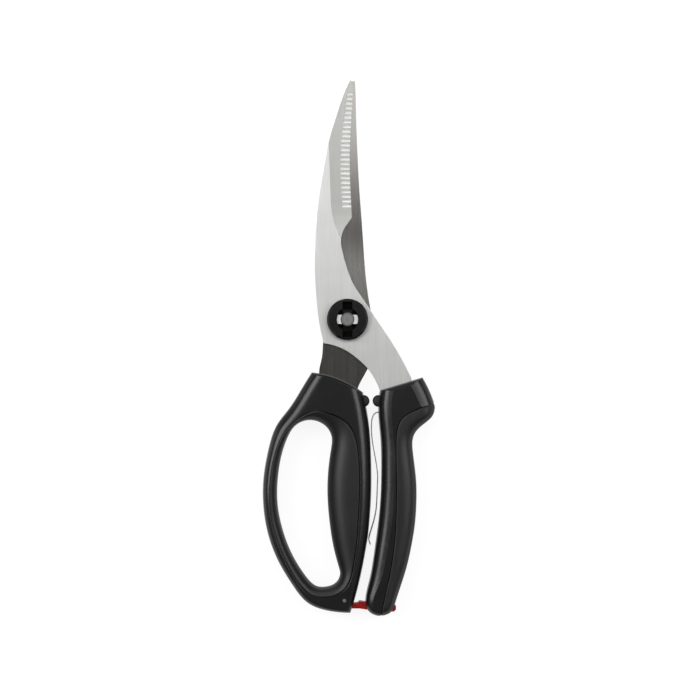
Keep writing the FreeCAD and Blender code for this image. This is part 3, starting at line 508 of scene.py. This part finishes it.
@dataclass(frozen=True)
class TurnedSteel:
    """Stainless steel, turned on a lathe: fine rings about the axis of a bolt or pin."""

    # Turning gives the eye a grey gleam that changes in faint rings.
    centre: Vector
    name: str = "turned_stainless_steel"
    colour: str = "#a8a8a6"
    # Paler colour of each ear beyond the shaft: a painted highlight.
    ear_highlight: str = "#ececea"
    # Rings from the lathe are about 0.1 mm apart; they are drawn coarser, so that the render shows them.
    ring_spacing: float = 3.14
    ring_waver: float = 0.6
    ring_tone: tuple[float, float] = (0.95, 1.03)
    ring_rough: tuple[float, float] = (0.29, 0.33)
    # Beyond the shaft, each ear has a painted highlight: a paler colour than the turned middle; the ears are
    # also left rougher, as blasted.
    shaft: float = 3.45
    ear_rough: float = 0.28

    def paint(self) -> bpy.types.Material:
        """Makes the material.

        Returns:
            Metal with faint rings about its axis.
        """
        material, tree, shader = blank(self.name)
        place = add(tree, "ShaderNodeTexCoord")
        home = {"Vector": place.outputs["Object"], "Location": -self.centre}
        about = add(tree, "ShaderNodeMapping", home)
        wave = {
            "Vector": about.outputs[0], "Scale": per(self.ring_spacing) * math.tau / WAVE_RADIANS,
            "Distortion": self.ring_waver, "Detail": 1.0,
        }
        rings = add(tree, "ShaderNodeTexWave", wave, wave_type="RINGS", rings_direction="Z")
        level = {0: about.outputs[0], 1: (1.0, 1.0, 0.0)}
        flat = add(tree, "ShaderNodeVectorMath", level, operation="MULTIPLY")
        radius = add(tree, "ShaderNodeVectorMath", {0: flat.outputs[0]}, operation="LENGTH")
        beyond = {0: radius.outputs["Value"], 1: self.shaft * MM}
        on_ear = add(tree, "ShaderNodeMath", beyond, operation="GREATER_THAN")

        # Painted highlight: the ears take the paler colour.
        tones = {0: on_ear.outputs[0], 6: linear(self.colour), 7: linear(self.ear_highlight)}
        faces = add(tree, "ShaderNodeMix", tones, data_type="RGBA")
        low, high = self.ring_tone
        change = {"Value": rings.outputs["Fac"], "To Min": low, "To Max": high}
        shade = add(tree, "ShaderNodeMapRange", change)
        tones = {0: 1.0, 6: faces.outputs[2], 7: shade.outputs[0]}
        steel = add(tree, "ShaderNodeMix", tones, data_type="RGBA", blend_type="MULTIPLY")

        low, high = self.ring_rough
        change = {"Value": rings.outputs["Fac"], "To Min": low, "To Max": high}
        fine = add(tree, "ShaderNodeMapRange", change)
        dull = {"Value": on_ear.outputs[0], "To Min": 0.0, "To Max": self.ear_rough}
        blast = add(tree, "ShaderNodeMapRange", dull)
        rough = add(tree, "ShaderNodeMath", {0: fine.outputs[0], 1: blast.outputs[0]})
        tree.links.new(steel.outputs[2], shader.inputs["Base Color"])
        tree.links.new(rough.outputs[0], shader.inputs["Roughness"])
        shader.inputs["Metallic"].default_value = 1.0
        return material


@dataclass(frozen=True)
class RolledSteel:
    """Spring steel strip, cold rolled: a grey sheen with lines along the strip."""

    # Rolling gives the eye a grey sheen that is drawn out along the strip.
    colour: str = "#a6a6a4"
    # Rolling lines, drawn coarser than the real ones so that the render shows them.
    line_spacing: float = 0.6
    line_length: float = 20.0
    line_tone: tuple[float, float] = (0.8, 1.15)
    line_rough: tuple[float, float] = (0.26, 0.4)

    def paint(self) -> bpy.types.Material:
        """Makes the material.

        Returns:
            Metal with rolling lines that run along the strip.
        """
        material, tree, shader = blank("rolled_spring_steel")
        place = add(tree, "ShaderNodeTexCoord")
        scale = (per(self.line_length), per(self.line_length), per(self.line_spacing))
        grain = add(tree, "ShaderNodeMapping", {"Vector": place.outputs["Object"], "Scale": scale})
        fine = {"Vector": grain.outputs[0], "Scale": 1.0, "Detail": 3.0}
        streak = add(tree, "ShaderNodeTexNoise", fine)
        low, high = self.line_tone
        change = {"Value": streak.outputs["Fac"], "To Min": low, "To Max": high}
        shade = add(tree, "ShaderNodeMapRange", change)
        tones = {0: 1.0, 6: linear(self.colour), 7: shade.outputs[0]}
        steel = add(tree, "ShaderNodeMix", tones, data_type="RGBA", blend_type="MULTIPLY")
        low, high = self.line_rough
        change = {"Value": streak.outputs["Fac"], "To Min": low, "To Max": high}
        rough = add(tree, "ShaderNodeMapRange", change)
        tree.links.new(steel.outputs[2], shader.inputs["Base Color"])
        tree.links.new(rough.outputs[0], shader.inputs["Roughness"])
        shader.inputs["Metallic"].default_value = 1.0
        return material


@dataclass(frozen=True)
class MouldedPlastic:
    """Glass-filled nylon or acetal from a fine-spark mould: semi-gloss, with a hairline parting line."""

    # Moulding gives the eye soft highlights on the front and a duller, faintly grained wall.
    name: str
    colour: str
    worn: str
    rough: float
    rough_spread: float = 0.05
    ior: float = 1.5
    parting_height: float = 9.0
    parting_width: float = 0.25
    parting_depth: float = 0.05
    parting_strength: float = 0.5
    # Spark texture of about 0.1 mm, drawn coarser so that the render shows it.
    spark: float = 0.45
    spark_depth: float = 0.1
    spark_strength: float = 0.05
    # Slow change of tone and gloss across the moulding.
    cloud: float = 14.0
    # The mould is rougher down its side walls, so these shine less than the top.
    side_shine: float = 0.12
    top_shine: float = 0.5
    # The walls that the blades leave through are the roughest.
    end_shine: float = 0.3
    # Below this height the mould is left matt and dark, as in the ring's grooves.
    matt_below: float = 0.0

    def paint(self) -> bpy.types.Material:
        """Makes the material.

        Returns:
            Plastic with a faint mould texture, slightly uneven gloss and its parting line.
        """
        material, tree, shader = blank(self.name)
        place = add(tree, "ShaderNodeTexCoord")
        axes = add(tree, "ShaderNodeSeparateXYZ", {0: place.outputs["Object"]})
        fine = {"Vector": place.outputs["Object"], "Scale": per(self.spark), "Detail": 2.0}
        spark = add(tree, "ShaderNodeTexNoise", fine)
        broad = {"Vector": place.outputs["Object"], "Scale": per(self.cloud), "Detail": 3.0}
        cloud = add(tree, "ShaderNodeTexNoise", broad)

        tones = {0: cloud.outputs["Fac"], 6: linear(self.colour), 7: linear(self.worn)}
        body = add(tree, "ShaderNodeMix", tones, data_type="RGBA")
        low, high = self.rough - self.rough_spread, self.rough + self.rough_spread
        change = {"Value": cloud.outputs["Fac"], "To Min": low, "To Max": high}
        rough = add(tree, "ShaderNodeMapRange", change)
        shine = top_shine(tree, place.outputs["Normal"], self.side_shine, self.top_shine, self.end_shine)
        top = {0: axes.outputs["Z"], 1: self.matt_below * MM}
        polished = add(tree, "ShaderNodeMath", top, operation="GREATER_THAN")
        bright = add(tree, "ShaderNodeMath", {0: shine, 1: polished.outputs[0]}, operation="MULTIPLY")

        level = {0: axes.outputs["Z"], 1: self.parting_height * MM}
        above = add(tree, "ShaderNodeMath", level, operation="SUBTRACT")
        away = add(tree, "ShaderNodeMath", {0: above.outputs[0]}, operation="ABSOLUTE")
        line = {
            "Value": away.outputs[0], "From Min": 0.0, "From Max": self.parting_width * MM,
            "To Min": 1.0, "To Max": 0.0,
        }
        seam = add(tree, "ShaderNodeMapRange", line, interpolation_type="SMOOTHSTEP")
        dots = {
            "Height": spark.outputs["Fac"], "Strength": self.spark_strength,
            "Distance": self.spark_depth * MM,
        }
        grain = add(tree, "ShaderNodeBump", dots)
        ridge = {
            "Height": seam.outputs[0], "Strength": self.parting_strength,
            "Distance": self.parting_depth * MM, "Normal": grain.outputs[0],
        }
        relief = add(tree, "ShaderNodeBump", ridge)
        tree.links.new(body.outputs[2], shader.inputs["Base Color"])
        tree.links.new(rough.outputs[0], shader.inputs["Roughness"])
        tree.links.new(bright.outputs[0], shader.inputs["Specular IOR Level"])
        tree.links.new(relief.outputs[0], shader.inputs["Normal"])
        shader.inputs["IOR"].default_value = self.ior
        return material


@dataclass(frozen=True)
class SoftGrip:
    """Thermoplastic rubber, moulded over the hard handle: satin, with a fine matt grain."""

    # The grain gives the eye broad, dim highlights without a sharp edge.
    name: str = "moulded_soft_rubber"
    colour: str = "#131314"
    worn: str = "#19191a"
    rough: float = 0.42
    rough_spread: tuple[float, float] = (-0.04, 0.06)
    ior: float = 1.5
    # Mould grain of about 0.15 mm, drawn coarser so that the render shows it.
    grain: float = 0.5
    grain_depth: float = 0.15
    grain_strength: float = 0.1
    # Slow change of tone and gloss across the moulding.
    cloud: float = 18.0
    # The grain is coarser down the side walls, so these shine less than the top.
    side_shine: float = 0.1
    top_shine: float = 0.54
    end_shine: float = 1.0

    def paint(self) -> bpy.types.Material:
        """Makes the material.

        Returns:
            Soft satin rubber with grain and a little sheen.
        """
        material, tree, shader = blank(self.name)
        place = add(tree, "ShaderNodeTexCoord")
        fine = {"Vector": place.outputs["Object"], "Scale": per(self.grain), "Detail": 2.0}
        grain = add(tree, "ShaderNodeTexNoise", fine)
        broad = {"Vector": place.outputs["Object"], "Scale": per(self.cloud), "Detail": 3.0}
        cloud = add(tree, "ShaderNodeTexNoise", broad)
        tones = {0: cloud.outputs["Fac"], 6: linear(self.colour), 7: linear(self.worn)}
        body = add(tree, "ShaderNodeMix", tones, data_type="RGBA")
        low, high = (self.rough + change for change in self.rough_spread)
        change = {"Value": cloud.outputs["Fac"], "To Min": low, "To Max": high}
        rough = add(tree, "ShaderNodeMapRange", change)
        shine = top_shine(tree, place.outputs["Normal"], self.side_shine, self.top_shine, self.end_shine)
        dots = {
            "Height": grain.outputs["Fac"], "Strength": self.grain_strength,
            "Distance": self.grain_depth * MM,
        }
        relief = add(tree, "ShaderNodeBump", dots)
        tree.links.new(body.outputs[2], shader.inputs["Base Color"])
        tree.links.new(rough.outputs[0], shader.inputs["Roughness"])
        tree.links.new(shine, shader.inputs["Specular IOR Level"])
        tree.links.new(relief.outputs[0], shader.inputs["Normal"])
        shader.inputs["IOR"].default_value = self.ior
        return material


# Sub-assemblies


@dataclass(frozen=True)
class HandleMap:
    """Places on the handles, from shares of their size below the pivot."""

    pivot: Vector
    grip_span: float = 86.0
    grip_reach: float = 147.5

    def place(self, across: float, along: float, height: float = 0.0) -> Vector:
        """Finds a point of the frame.

        Args:
            across: share of the handles' span.
            along: share of the handles' reach, down from the pivot.
            height: millimetres in front of the middle of the handles.

        Returns:
            The point, in metres.
        """
        return self.pivot + Vector((across * self.grip_span, -along * self.grip_reach, height)) * MM


def section(start: Vector, end: Vector, outline: list[tuple[float, float]]) -> list[Vector]:
    """Stands an outline up on the line between two points.

    Args:
        start: where the outline's distances begin, at the middle of the handle.
        end: the point that they run towards.
        outline: distance along the line and height, in millimetres.

    Returns:
        The outline's points in the frame.
    """
    way = (end - start).normalized()
    return [start + (way * distance + Vector((0, 0, height))) * MM for distance, height in outline]


@dataclass
class FingerLiner:
    """Soft lining of the finger loop: thick and flared over the bar, thin round the bow."""

    handle: HandleMap
    # Half of the height, half of the straight wall at the opening, and how far the flare beyond it reaches.
    half: float = 8.65
    flat: float = 1.0
    flare: float = 9.5
    lip: float = 0.5
    lip_drop: float = 0.6
    # Round the bow the thin rubber laps over the rounded edge of the hard handle, so the seam hardly shows.
    lap: float = 0.3
    lap_drop: float = 0.2
    # Shares of the flare where the lap starts and where it is full.
    lap_shares: tuple[float, float] = (0.6, 0.45)
    gap: float = 0.05
    # Opening, share of the flare there, and the seam's point across from it.
    stations: tuple[tuple[float, float, float, float, float], ...] = (
        (-0.215, 0.341, 0.47, -0.2028, 0.311), (-0.139, 0.356, 0.68, -0.1159, 0.3149),
        (-0.101, 0.383, 0.9, -0.0289, 0.337), (-0.091, 0.414, 1.0, 0.0368, 0.3849),
        (-0.103, 0.464, 1.0, 0.064, 0.4585), (-0.115, 0.532, 1.0, 0.0694, 0.5306),
        (-0.116, 0.607, 1.0, 0.0674, 0.608), (-0.103, 0.695, 0.95, 0.0598, 0.6968),
        (-0.08, 0.776, 0.85, 0.0469, 0.7767), (-0.052, 0.837, 0.7, 0.029, 0.844),
        (-0.044, 0.863, 0.6, 0.0145, 0.8778), (-0.058, 0.885, 0.53, -0.0168, 0.9077),
        (-0.093, 0.901, 0.5, -0.0761, 0.9294), (-0.145, 0.907, 0.47, -0.1425, 0.935),
        (-0.198, 0.898, 0.44, -0.2113, 0.9261), (-0.258, 0.858, 0.38, -0.2903, 0.8809),
        (-0.327, 0.79, 0.35, -0.3575, 0.8115), (-0.379, 0.708, 0.34, -0.417, 0.7209),
        (-0.406, 0.627, 0.34, -0.4453, 0.6309), (-0.406, 0.546, 0.34, -0.4445, 0.5484),
        (-0.385, 0.464, 0.34, -0.4239, 0.4655), (-0.346, 0.397, 0.36, -0.3788, 0.3965),
        (-0.295, 0.356, 0.4, -0.3098, 0.3483),
    )
    # Sine and one minus cosine of the angles that the flare passes through.
    quarter: tuple[tuple[float, float], ...] = (
        (0.0, 0.0), (0.383, 0.076), (0.707, 0.293), (0.924, 0.617), (1.0, 1.0),
    )

    def profile(self, width: float, share: float) -> list[tuple[float, float]]:
        """Draws the lining's section.

        Args:
            width: from the opening to the seam.
            share: share of the flare.

        Returns:
            Distance from the opening and height of each corner, round the section.
        """
        reach = min(share * self.flare, width - self.lip)
        rise = self.half - self.flat
        front = [(reach * across, self.flat + rise * up) for up, across in self.quarter]
        start, full = self.lap_shares
        lapped = min(max((start - share) / (start - full), 0.0), 1.0)
        over = lapped * self.lap
        drop = self.lip_drop + lapped * (self.lap_drop - self.lip_drop)
        front.append(((reach + width - self.lip) / 2, self.half))
        front.append((width - self.lip, self.half))
        front.append((width - self.lip * CORNER_CUT + over, self.half - drop * CORNER_CUT))
        front.append((width + over, self.half - drop))
        front.append((width, self.half - drop - self.lip_drop))
        back = [(across, -height) for across, height in reversed(front)]
        return front + [(width, 0.0)] + back

    def build(self) -> bpy.types.Object:
        """Sweeps a ring from the opening over the lining and back.

        Returns:
            The lining, which stands for the plain CAD lining.
        """
        sections = []
        for across, along, share, seam_across, seam_along in self.stations:
            start = self.handle.place(across, along)
            end = self.handle.place(seam_across, seam_along)
            width = (end - start).length / MM - self.gap
            sections.append(section(start, end, self.profile(width, share)))
        rings = [through(list(ring), closed=True) for ring in zip(*sections)]
        mesh = bmesh.new()
        swept(mesh, rings, closed=True)
        piece = finished(mesh, "finger_lining")
        subdivided(piece)
        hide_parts("loop_liner")
        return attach(piece, Body.LOOP.value)

    def dress(self, piece: bpy.types.Object, soft: bpy.types.Material) -> None:
        """Gives the lining its rubber."""
        dressed(piece, soft)


@dataclass
class ThumbPad:
    """Soft pad over the outer side of the thumb handle and round under its spur."""

    handle: HandleMap
    # Half of the height, and how far the rounded edge reaches across the front and down the side.
    half: float = 8.65
    edge_round: float = 5.0
    edge_depth: float = 5.5
    lip: float = 0.5
    lip_drop: float = 0.6
    # Where the pad is narrow, its lip takes this share of it, and the rounded edge this share of the rest.
    lip_share: float = 0.3
    edge_share: float = 0.9
    gap: float = 0.05
    # Outline, share of its rounding there, and the seam's point across from it.
    stations: tuple[tuple[float, float, float, float, float], ...] = (
        (0.193, 1.0, 0.68, 0.191, 0.997), (0.2015, 1.0005, 0.69, 0.1938, 0.9915),
        (0.2125, 1.0002, 0.7, 0.1965, 0.985), (0.226, 0.998, 0.72, 0.2, 0.976),
        (0.259, 0.985, 0.8, 0.209, 0.953), (0.287, 0.942, 1.0, 0.224, 0.912),
        (0.323, 0.878, 1.15, 0.241, 0.868), (0.353, 0.817, 1.25, 0.255, 0.822),
        (0.377, 0.749, 1.3, 0.27, 0.755), (0.394, 0.681, 1.3, 0.279, 0.681),
        (0.401, 0.607, 1.3, 0.283, 0.607), (0.398, 0.539, 1.3, 0.2825, 0.539),
        (0.384, 0.468, 1.25, 0.28, 0.468), (0.377, 0.417, 1.2, 0.28, 0.41),
        (0.394, 0.383, 1.15, 0.288, 0.369), (0.439, 0.356, 1.1, 0.311, 0.337),
        (0.491, 0.329, 1.05, 0.355, 0.317), (0.507, 0.302, 1.15, 0.424, 0.298),
        (0.506, 0.292, 1.22, 0.456, 0.2895), (0.501, 0.284, 1.3, 0.484, 0.282),
        (0.497, 0.278, 1.33, 0.493, 0.2797),
    )
    # Shares of the way over the rounded edge: one minus the cosine of 0, 30, 60 and 90 degrees.
    quarter: tuple[float, ...] = (0.0, 0.134, 0.5, 1.0)

    def profile(self, width: float, share: float) -> list[tuple[float, float]]:
        """Draws the pad's section.

        Args:
            width: from the outline to the seam.
            share: share of the edge's rounding.

        Returns:
            Distance from the outline and height of each corner, round the section.
        """
        lip = min(self.lip, width * self.lip_share)
        drop = self.lip_drop * lip / self.lip
        flat = width - lip
        reach = share * self.edge_round
        over = min(reach, flat * self.edge_share)
        places = [over * part for part in self.quarter] + [(over + flat) / 2, flat]
        low = self.half - self.edge_depth
        front = []
        for across in places:
            climb = max(1 - across / reach, 0.0)
            front.append((across, low + self.edge_depth * (1 - climb * climb) ** 0.5))
        crown = front[-1][1]
        front.append((width - lip * CORNER_CUT, crown - drop * CORNER_CUT))
        front.append((width, crown - drop))
        back = [(across, -height) for across, height in reversed(front)]
        return [(0.0, 0.0)] + front + [(width, 0.0)] + back

    def build(self) -> bpy.types.Object:
        """Sweeps a section from the end of the handle up to the spur.

        Returns:
            The pad, which stands for the plain CAD pad.
        """
        sections = []
        for across, along, share, seam_across, seam_along in self.stations:
            start = self.handle.place(across, along)
            end = self.handle.place(seam_across, seam_along)
            width = max((end - start).length / MM - self.gap, self.gap)
            sections.append(section(start, end, self.profile(width, share)))
        lines = [through(list(line), closed=False) for line in zip(*sections)]
        mesh = bmesh.new()
        swept(mesh, [list(ring) for ring in zip(*lines)], closed=False)
        piece = finished(mesh, "thumb_grip_pad")
        subdivided(piece)
        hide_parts("thumb_pad")
        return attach(piece, Body.THUMB.value)

    def dress(self, piece: bpy.types.Object, soft: bpy.types.Material) -> None:
        """Gives the pad its rubber."""
        dressed(piece, soft)


@dataclass
class Stop:
    """Soft round stop between the handles, with two shallow grooves round it."""

    handle: HandleMap
    name: str
    node: str
    body: Body
    across: float
    along: float = 0.276
    radius: float = 2.9
    half: float = 4.5
    rounding: float = 1.2
    groove_depth: float = 0.25
    groove_height: float = 1.5
    groove_half: float = 0.4
    edge: float = 0.12
    turns: int = 40

    def build(self) -> bpy.types.Object:
        """Spins half of the stop's section about its own axis.

        Returns:
            The stop, which stands for the plain CAD stop.
        """
        cut = CORNER_CUT * self.rounding
        outline = [
            (0.0, self.half),
            (self.radius - self.rounding, self.half),
            (self.radius - cut, self.half - cut),
            (self.radius, self.half - self.rounding),
            (self.radius, self.groove_height + self.groove_half),
            (self.radius - self.groove_depth, self.groove_height),
            (self.radius, self.groove_height - self.groove_half),
        ]
        outline += [(across, -height) for across, height in reversed(outline)]
        centre = self.handle.place(self.across, self.along)
        mesh = bmesh.new()
        corners = [mesh.verts.new(centre + Vector((across, 0, height)) * MM) for across, height in outline]
        edges = [mesh.edges.new(pair) for pair in zip(corners, corners[1:])]
        turn = {"axis": (0, 0, 1), "cent": centre, "angle": math.tau, "steps": self.turns}
        bmesh.ops.spin(mesh, geom=corners + edges, use_merge=True, **turn)
        piece = finished(mesh, self.name)
        edged(piece, self.edge)
        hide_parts(self.node)
        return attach(piece, self.body.value)

    def dress(self, piece: bpy.types.Object, rubber: bpy.types.Material) -> None:
        """Gives the stop its rubber."""
        dressed(piece, rubber)


@dataclass
class LeafSpring:
    """Bent steel strip between the handles, rooted in the thumb handle, with a curled sliding tip."""

    handle: HandleMap
    width: float = 7.0
    thickness: float = 0.5
    edge: float = 0.1
    # How far beyond the root the strip would follow the loop handle fully: it lifts off before that.
    follow: float = 190.0
    line: tuple[tuple[float, float], ...] = (
        (0.219, 0.31), (0.203, 0.312), (0.184, 0.313), (0.158, 0.319), (0.143, 0.336), (0.139, 0.363),
        (0.144, 0.41), (0.16, 0.464), (0.174, 0.519), (0.174, 0.553), (0.171, 0.6), (0.163, 0.654),
        (0.144, 0.698), (0.13, 0.725), (0.124, 0.744), (0.133, 0.761),
    )

    def build(self) -> bpy.types.Object:
        """Extrudes the strip's line across its width.

        Returns:
            The strip, which stands for the CAD strip.
        """
        points = [self.handle.place(across, along, -self.width / 2) for across, along in self.line]
        mesh = bmesh.new()
        corners = [mesh.verts.new(point) for point in through(points, closed=False)]
        edges = [mesh.edges.new(pair) for pair in zip(corners, corners[1:])]
        grown = bmesh.ops.extrude_edge_only(mesh, edges=edges)["geom"]
        far = [item for item in grown if isinstance(item, bmesh.types.BMVert)]
        bmesh.ops.translate(mesh, verts=far, vec=(0, 0, self.width * MM))
        piece = finished(mesh, "leaf_spring_strip")
        subdivided(piece)
        wall = piece.modifiers.new("wall", "SOLIDIFY")
        wall.thickness = self.thickness * MM
        wall.offset = 0.0
        edged(piece, self.edge)
        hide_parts("leaf_spring")
        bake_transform(piece)
        return piece

    def dress(self, piece: bpy.types.Object, steel: bpy.types.Material) -> None:
        """Gives the strip its steel."""
        dressed(piece, steel)


@dataclass
class CarriedNodes:
    """The rigid CAD nodes that are shown as they are, each with its finish."""

    nodes: dict[str, bpy.types.Object]

    def dress(self, finishes: dict[str, bpy.types.Material]) -> None:
        """Gives each node its finish.

        Args:
            finishes: the material for each node's name.
        """
        for name, material in finishes.items():
            for slot in self.nodes[name].material_slots:
                slot.material = material
            log.info("%s: %s", name, material.name)


@dataclass
class Softbox:
    """A studio lamp with a white cloth front."""

    name: str
    # Place and size in metres.
    place: Vector
    width: float
    length: float
    watts: float

    def build(self, target: Vector) -> None:
        """Hangs the lamp, turned towards the object.

        Args:
            target: where it points.
        """
        lamp = bpy.data.lights.new(self.name, "AREA")
        lamp.shape = "RECTANGLE"
        lamp.size = self.width
        lamp.size_y = self.length
        lamp.energy = self.watts
        holder = bpy.data.objects.new(self.name, lamp)
        holder.location = self.place
        holder.rotation_euler = (target - self.place).to_track_quat("-Z", "Y").to_euler()
        holder.visible_camera = False
        bpy.context.scene.collection.objects.link(holder)


@dataclass
class Studio:
    """Pale floor, softboxes to the sides and beyond the tips, and a camera straight above."""

    target: Vector
    # The picture is as wide as this field at the focus height.
    field: float = 349.0
    focus_height: float = 12.0
    lens: float = 100.0
    sensor: float = 36.0
    # Half of the floor's width in metres, and how many millimetres it lies below the object.
    floor_half: float = 4.0
    floor_drop: float = 0.3
    floor_paint: str = "#808080"
    floor_glow: float = 0.89
    # How bright the room is overhead and at the horizon, and how high the sky changes from one to the other.
    zenith: float = 0.08
    horizon: float = 0.2
    horizon_height: float = 0.3
    zenith_height: float = 0.95

    def floor(self) -> None:
        """Lays a pale floor that reads white and still takes the object's shadow."""
        mesh = bmesh.new()
        bmesh.ops.create_grid(mesh, x_segments=1, y_segments=1, size=self.floor_half)
        bmesh.ops.translate(mesh, verts=mesh.verts, vec=(0, 0, -self.floor_drop * MM))
        piece = finished(mesh, "studio_floor")
        material, tree, shader = blank("matt_white_paper")
        # Matt white paper under a little of its own light: it takes shadow, and it reads as plain white.
        ray = add(tree, "ShaderNodeLightPath").outputs
        direct = {0: ray["Is Camera Ray"], 1: ray["Is Glossy Ray"]}
        seen = add(tree, "ShaderNodeMath", direct, operation="MAXIMUM")
        passed = {0: seen.outputs[0], 1: ray["Is Transmission Ray"]}
        clear = add(tree, "ShaderNodeMath", passed, operation="MAXIMUM")
        glow = add(tree, "ShaderNodeMath", {0: clear.outputs[0], 1: self.floor_glow}, operation="MULTIPLY")
        shader.inputs["Base Color"].default_value = linear(self.floor_paint)
        shader.inputs["Roughness"].default_value = 1.0
        shader.inputs["Specular IOR Level"].default_value = 0.0
        shader.inputs["Emission Color"].default_value = (1.0, 1.0, 1.0, 1.0)
        tree.links.new(glow.outputs[0], shader.inputs["Emission Strength"])
        dressed(piece, material)
        piece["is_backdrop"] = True

    def world(self) -> None:
        """Fills in from all round, pale at the horizon and dark above the camera."""
        world = bpy.data.worlds.new("studio_room")
        world.use_nodes = True
        bpy.context.scene.world = world
        tree = world.node_tree
        place = add(tree, "ShaderNodeTexCoord")
        axes = add(tree, "ShaderNodeSeparateXYZ", {0: place.outputs["Generated"]})
        rise = {
            "Value": axes.outputs["Z"], "From Min": self.horizon_height, "From Max": self.zenith_height,
            "To Min": self.horizon, "To Max": self.zenith,
        }
        level = add(tree, "ShaderNodeMapRange", rise, interpolation_type="SMOOTHSTEP")
        tree.links.new(level.outputs[0], tree.nodes["Background"].inputs["Strength"])
        tree.nodes["Background"].inputs["Color"].default_value = (1.0, 1.0, 1.0, 1.0)

    def lamps(self) -> None:
        """Hangs the softboxes."""
        boxes = (
            Softbox("left_softbox", Vector((-0.7, 0.19, 0.86)), width=0.7, length=0.6, watts=5.5),
            Softbox("right_softbox", Vector((0.7, 0.19, 0.86)), width=0.7, length=0.6, watts=3.9),
            Softbox("far_softbox", Vector((0.0, 0.529, 1.337)), width=1.2, length=0.65, watts=3.4),
            Softbox("low_softbox", Vector((0.0, 1.1, 0.4)), width=1.8, length=0.7, watts=4.0),
        )
        for box in boxes:
            box.build(self.target)

    def camera(self) -> None:
        """Sets the camera straight above, with the blade tips up."""
        data = bpy.data.cameras.new("camera")
        data.lens = self.lens
        data.sensor_width = self.sensor
        holder = bpy.data.objects.new("camera", data)
        distance = self.field * MM * self.lens / self.sensor
        holder.location = self.target + Vector((0, 0, distance + self.focus_height * MM))
        bpy.context.scene.collection.objects.link(holder)
        bpy.context.scene.camera = holder

    def build(self) -> None:
        """Sets up the whole studio."""
        bpy.context.scene.view_settings.view_transform = "Standard"
        self.floor()
        self.world()
        self.lamps()
        self.camera()


def corners() -> list[list[float]]:
    """The object's lowest and highest corners as plain numbers."""
    return [[float(value) for value in corner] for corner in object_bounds()]


def main() -> None:
    """Builds and dresses the shears, piece by piece, and sets up the studio."""
    logging.basicConfig(level=logging.INFO, format="%(name)s %(message)s")
    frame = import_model()
    joints = {joint["name"]: joint for joint in frame["record"]["behaviour"]["joints"]}
    handle = HandleMap(Vector(joints["blade_pivot"]["pos_m"]))

    ground = GroundSteel().paint()
    polished = PolishedSteel(handle.pivot).paint()
    turned = TurnedSteel(handle.pivot).paint()
    pin = TurnedSteel(handle.pivot, "drawn_steel_pin", "#8a8a88", "#8a8a88").paint()
    rolled = RolledSteel().paint()
    hard = MouldedPlastic("moulded_black_nylon", "#1a1a1b", "#202021", 0.25).paint()
    ring = MouldedPlastic("moulded_black_acetal", "#0e0e0f", "#131314", 0.24, matt_below=14.9).paint()
    red = MouldedPlastic("moulded_red_acetal", "#c4211f", "#b81c1b", 0.3).paint()
    soft = SoftGrip().paint()
    rubber = SoftGrip("moulded_stop_rubber", "#070708", "#0b0b0c", 0.6).paint()

    CarriedNodes(frame["nodes"]).dress({
        "front_blade": ground,
        "back_blade": polished,
        "pivot_bolt": turned,
        "pivot_washer": turned,
        "keyhole_ring": ring,
        "loop_core": hard,
        "thumb_core": hard,
        "lock_lever": red,
        "lock_pin": pin,
        "catch_pin": pin,
    })
    liner = FingerLiner(handle)
    liner.dress(liner.build(), soft)
    pad = ThumbPad(handle)
    pad.dress(pad.build(), soft)
    stops = (
        Stop(handle, "loop_stop", "loop_bumper", Body.LOOP, 0.094),
        Stop(handle, "thumb_stop", "thumb_bumper", Body.THUMB, 0.18),
    )
    for stop in stops:
        stop.dress(stop.build(), rubber)
    spring = LeafSpring(handle)
    spring.dress(spring.build(), rolled)

    Studio(Vector(PICTURE_MIDDLE) * MM).build()


if __name__ == "__main__":
    main()
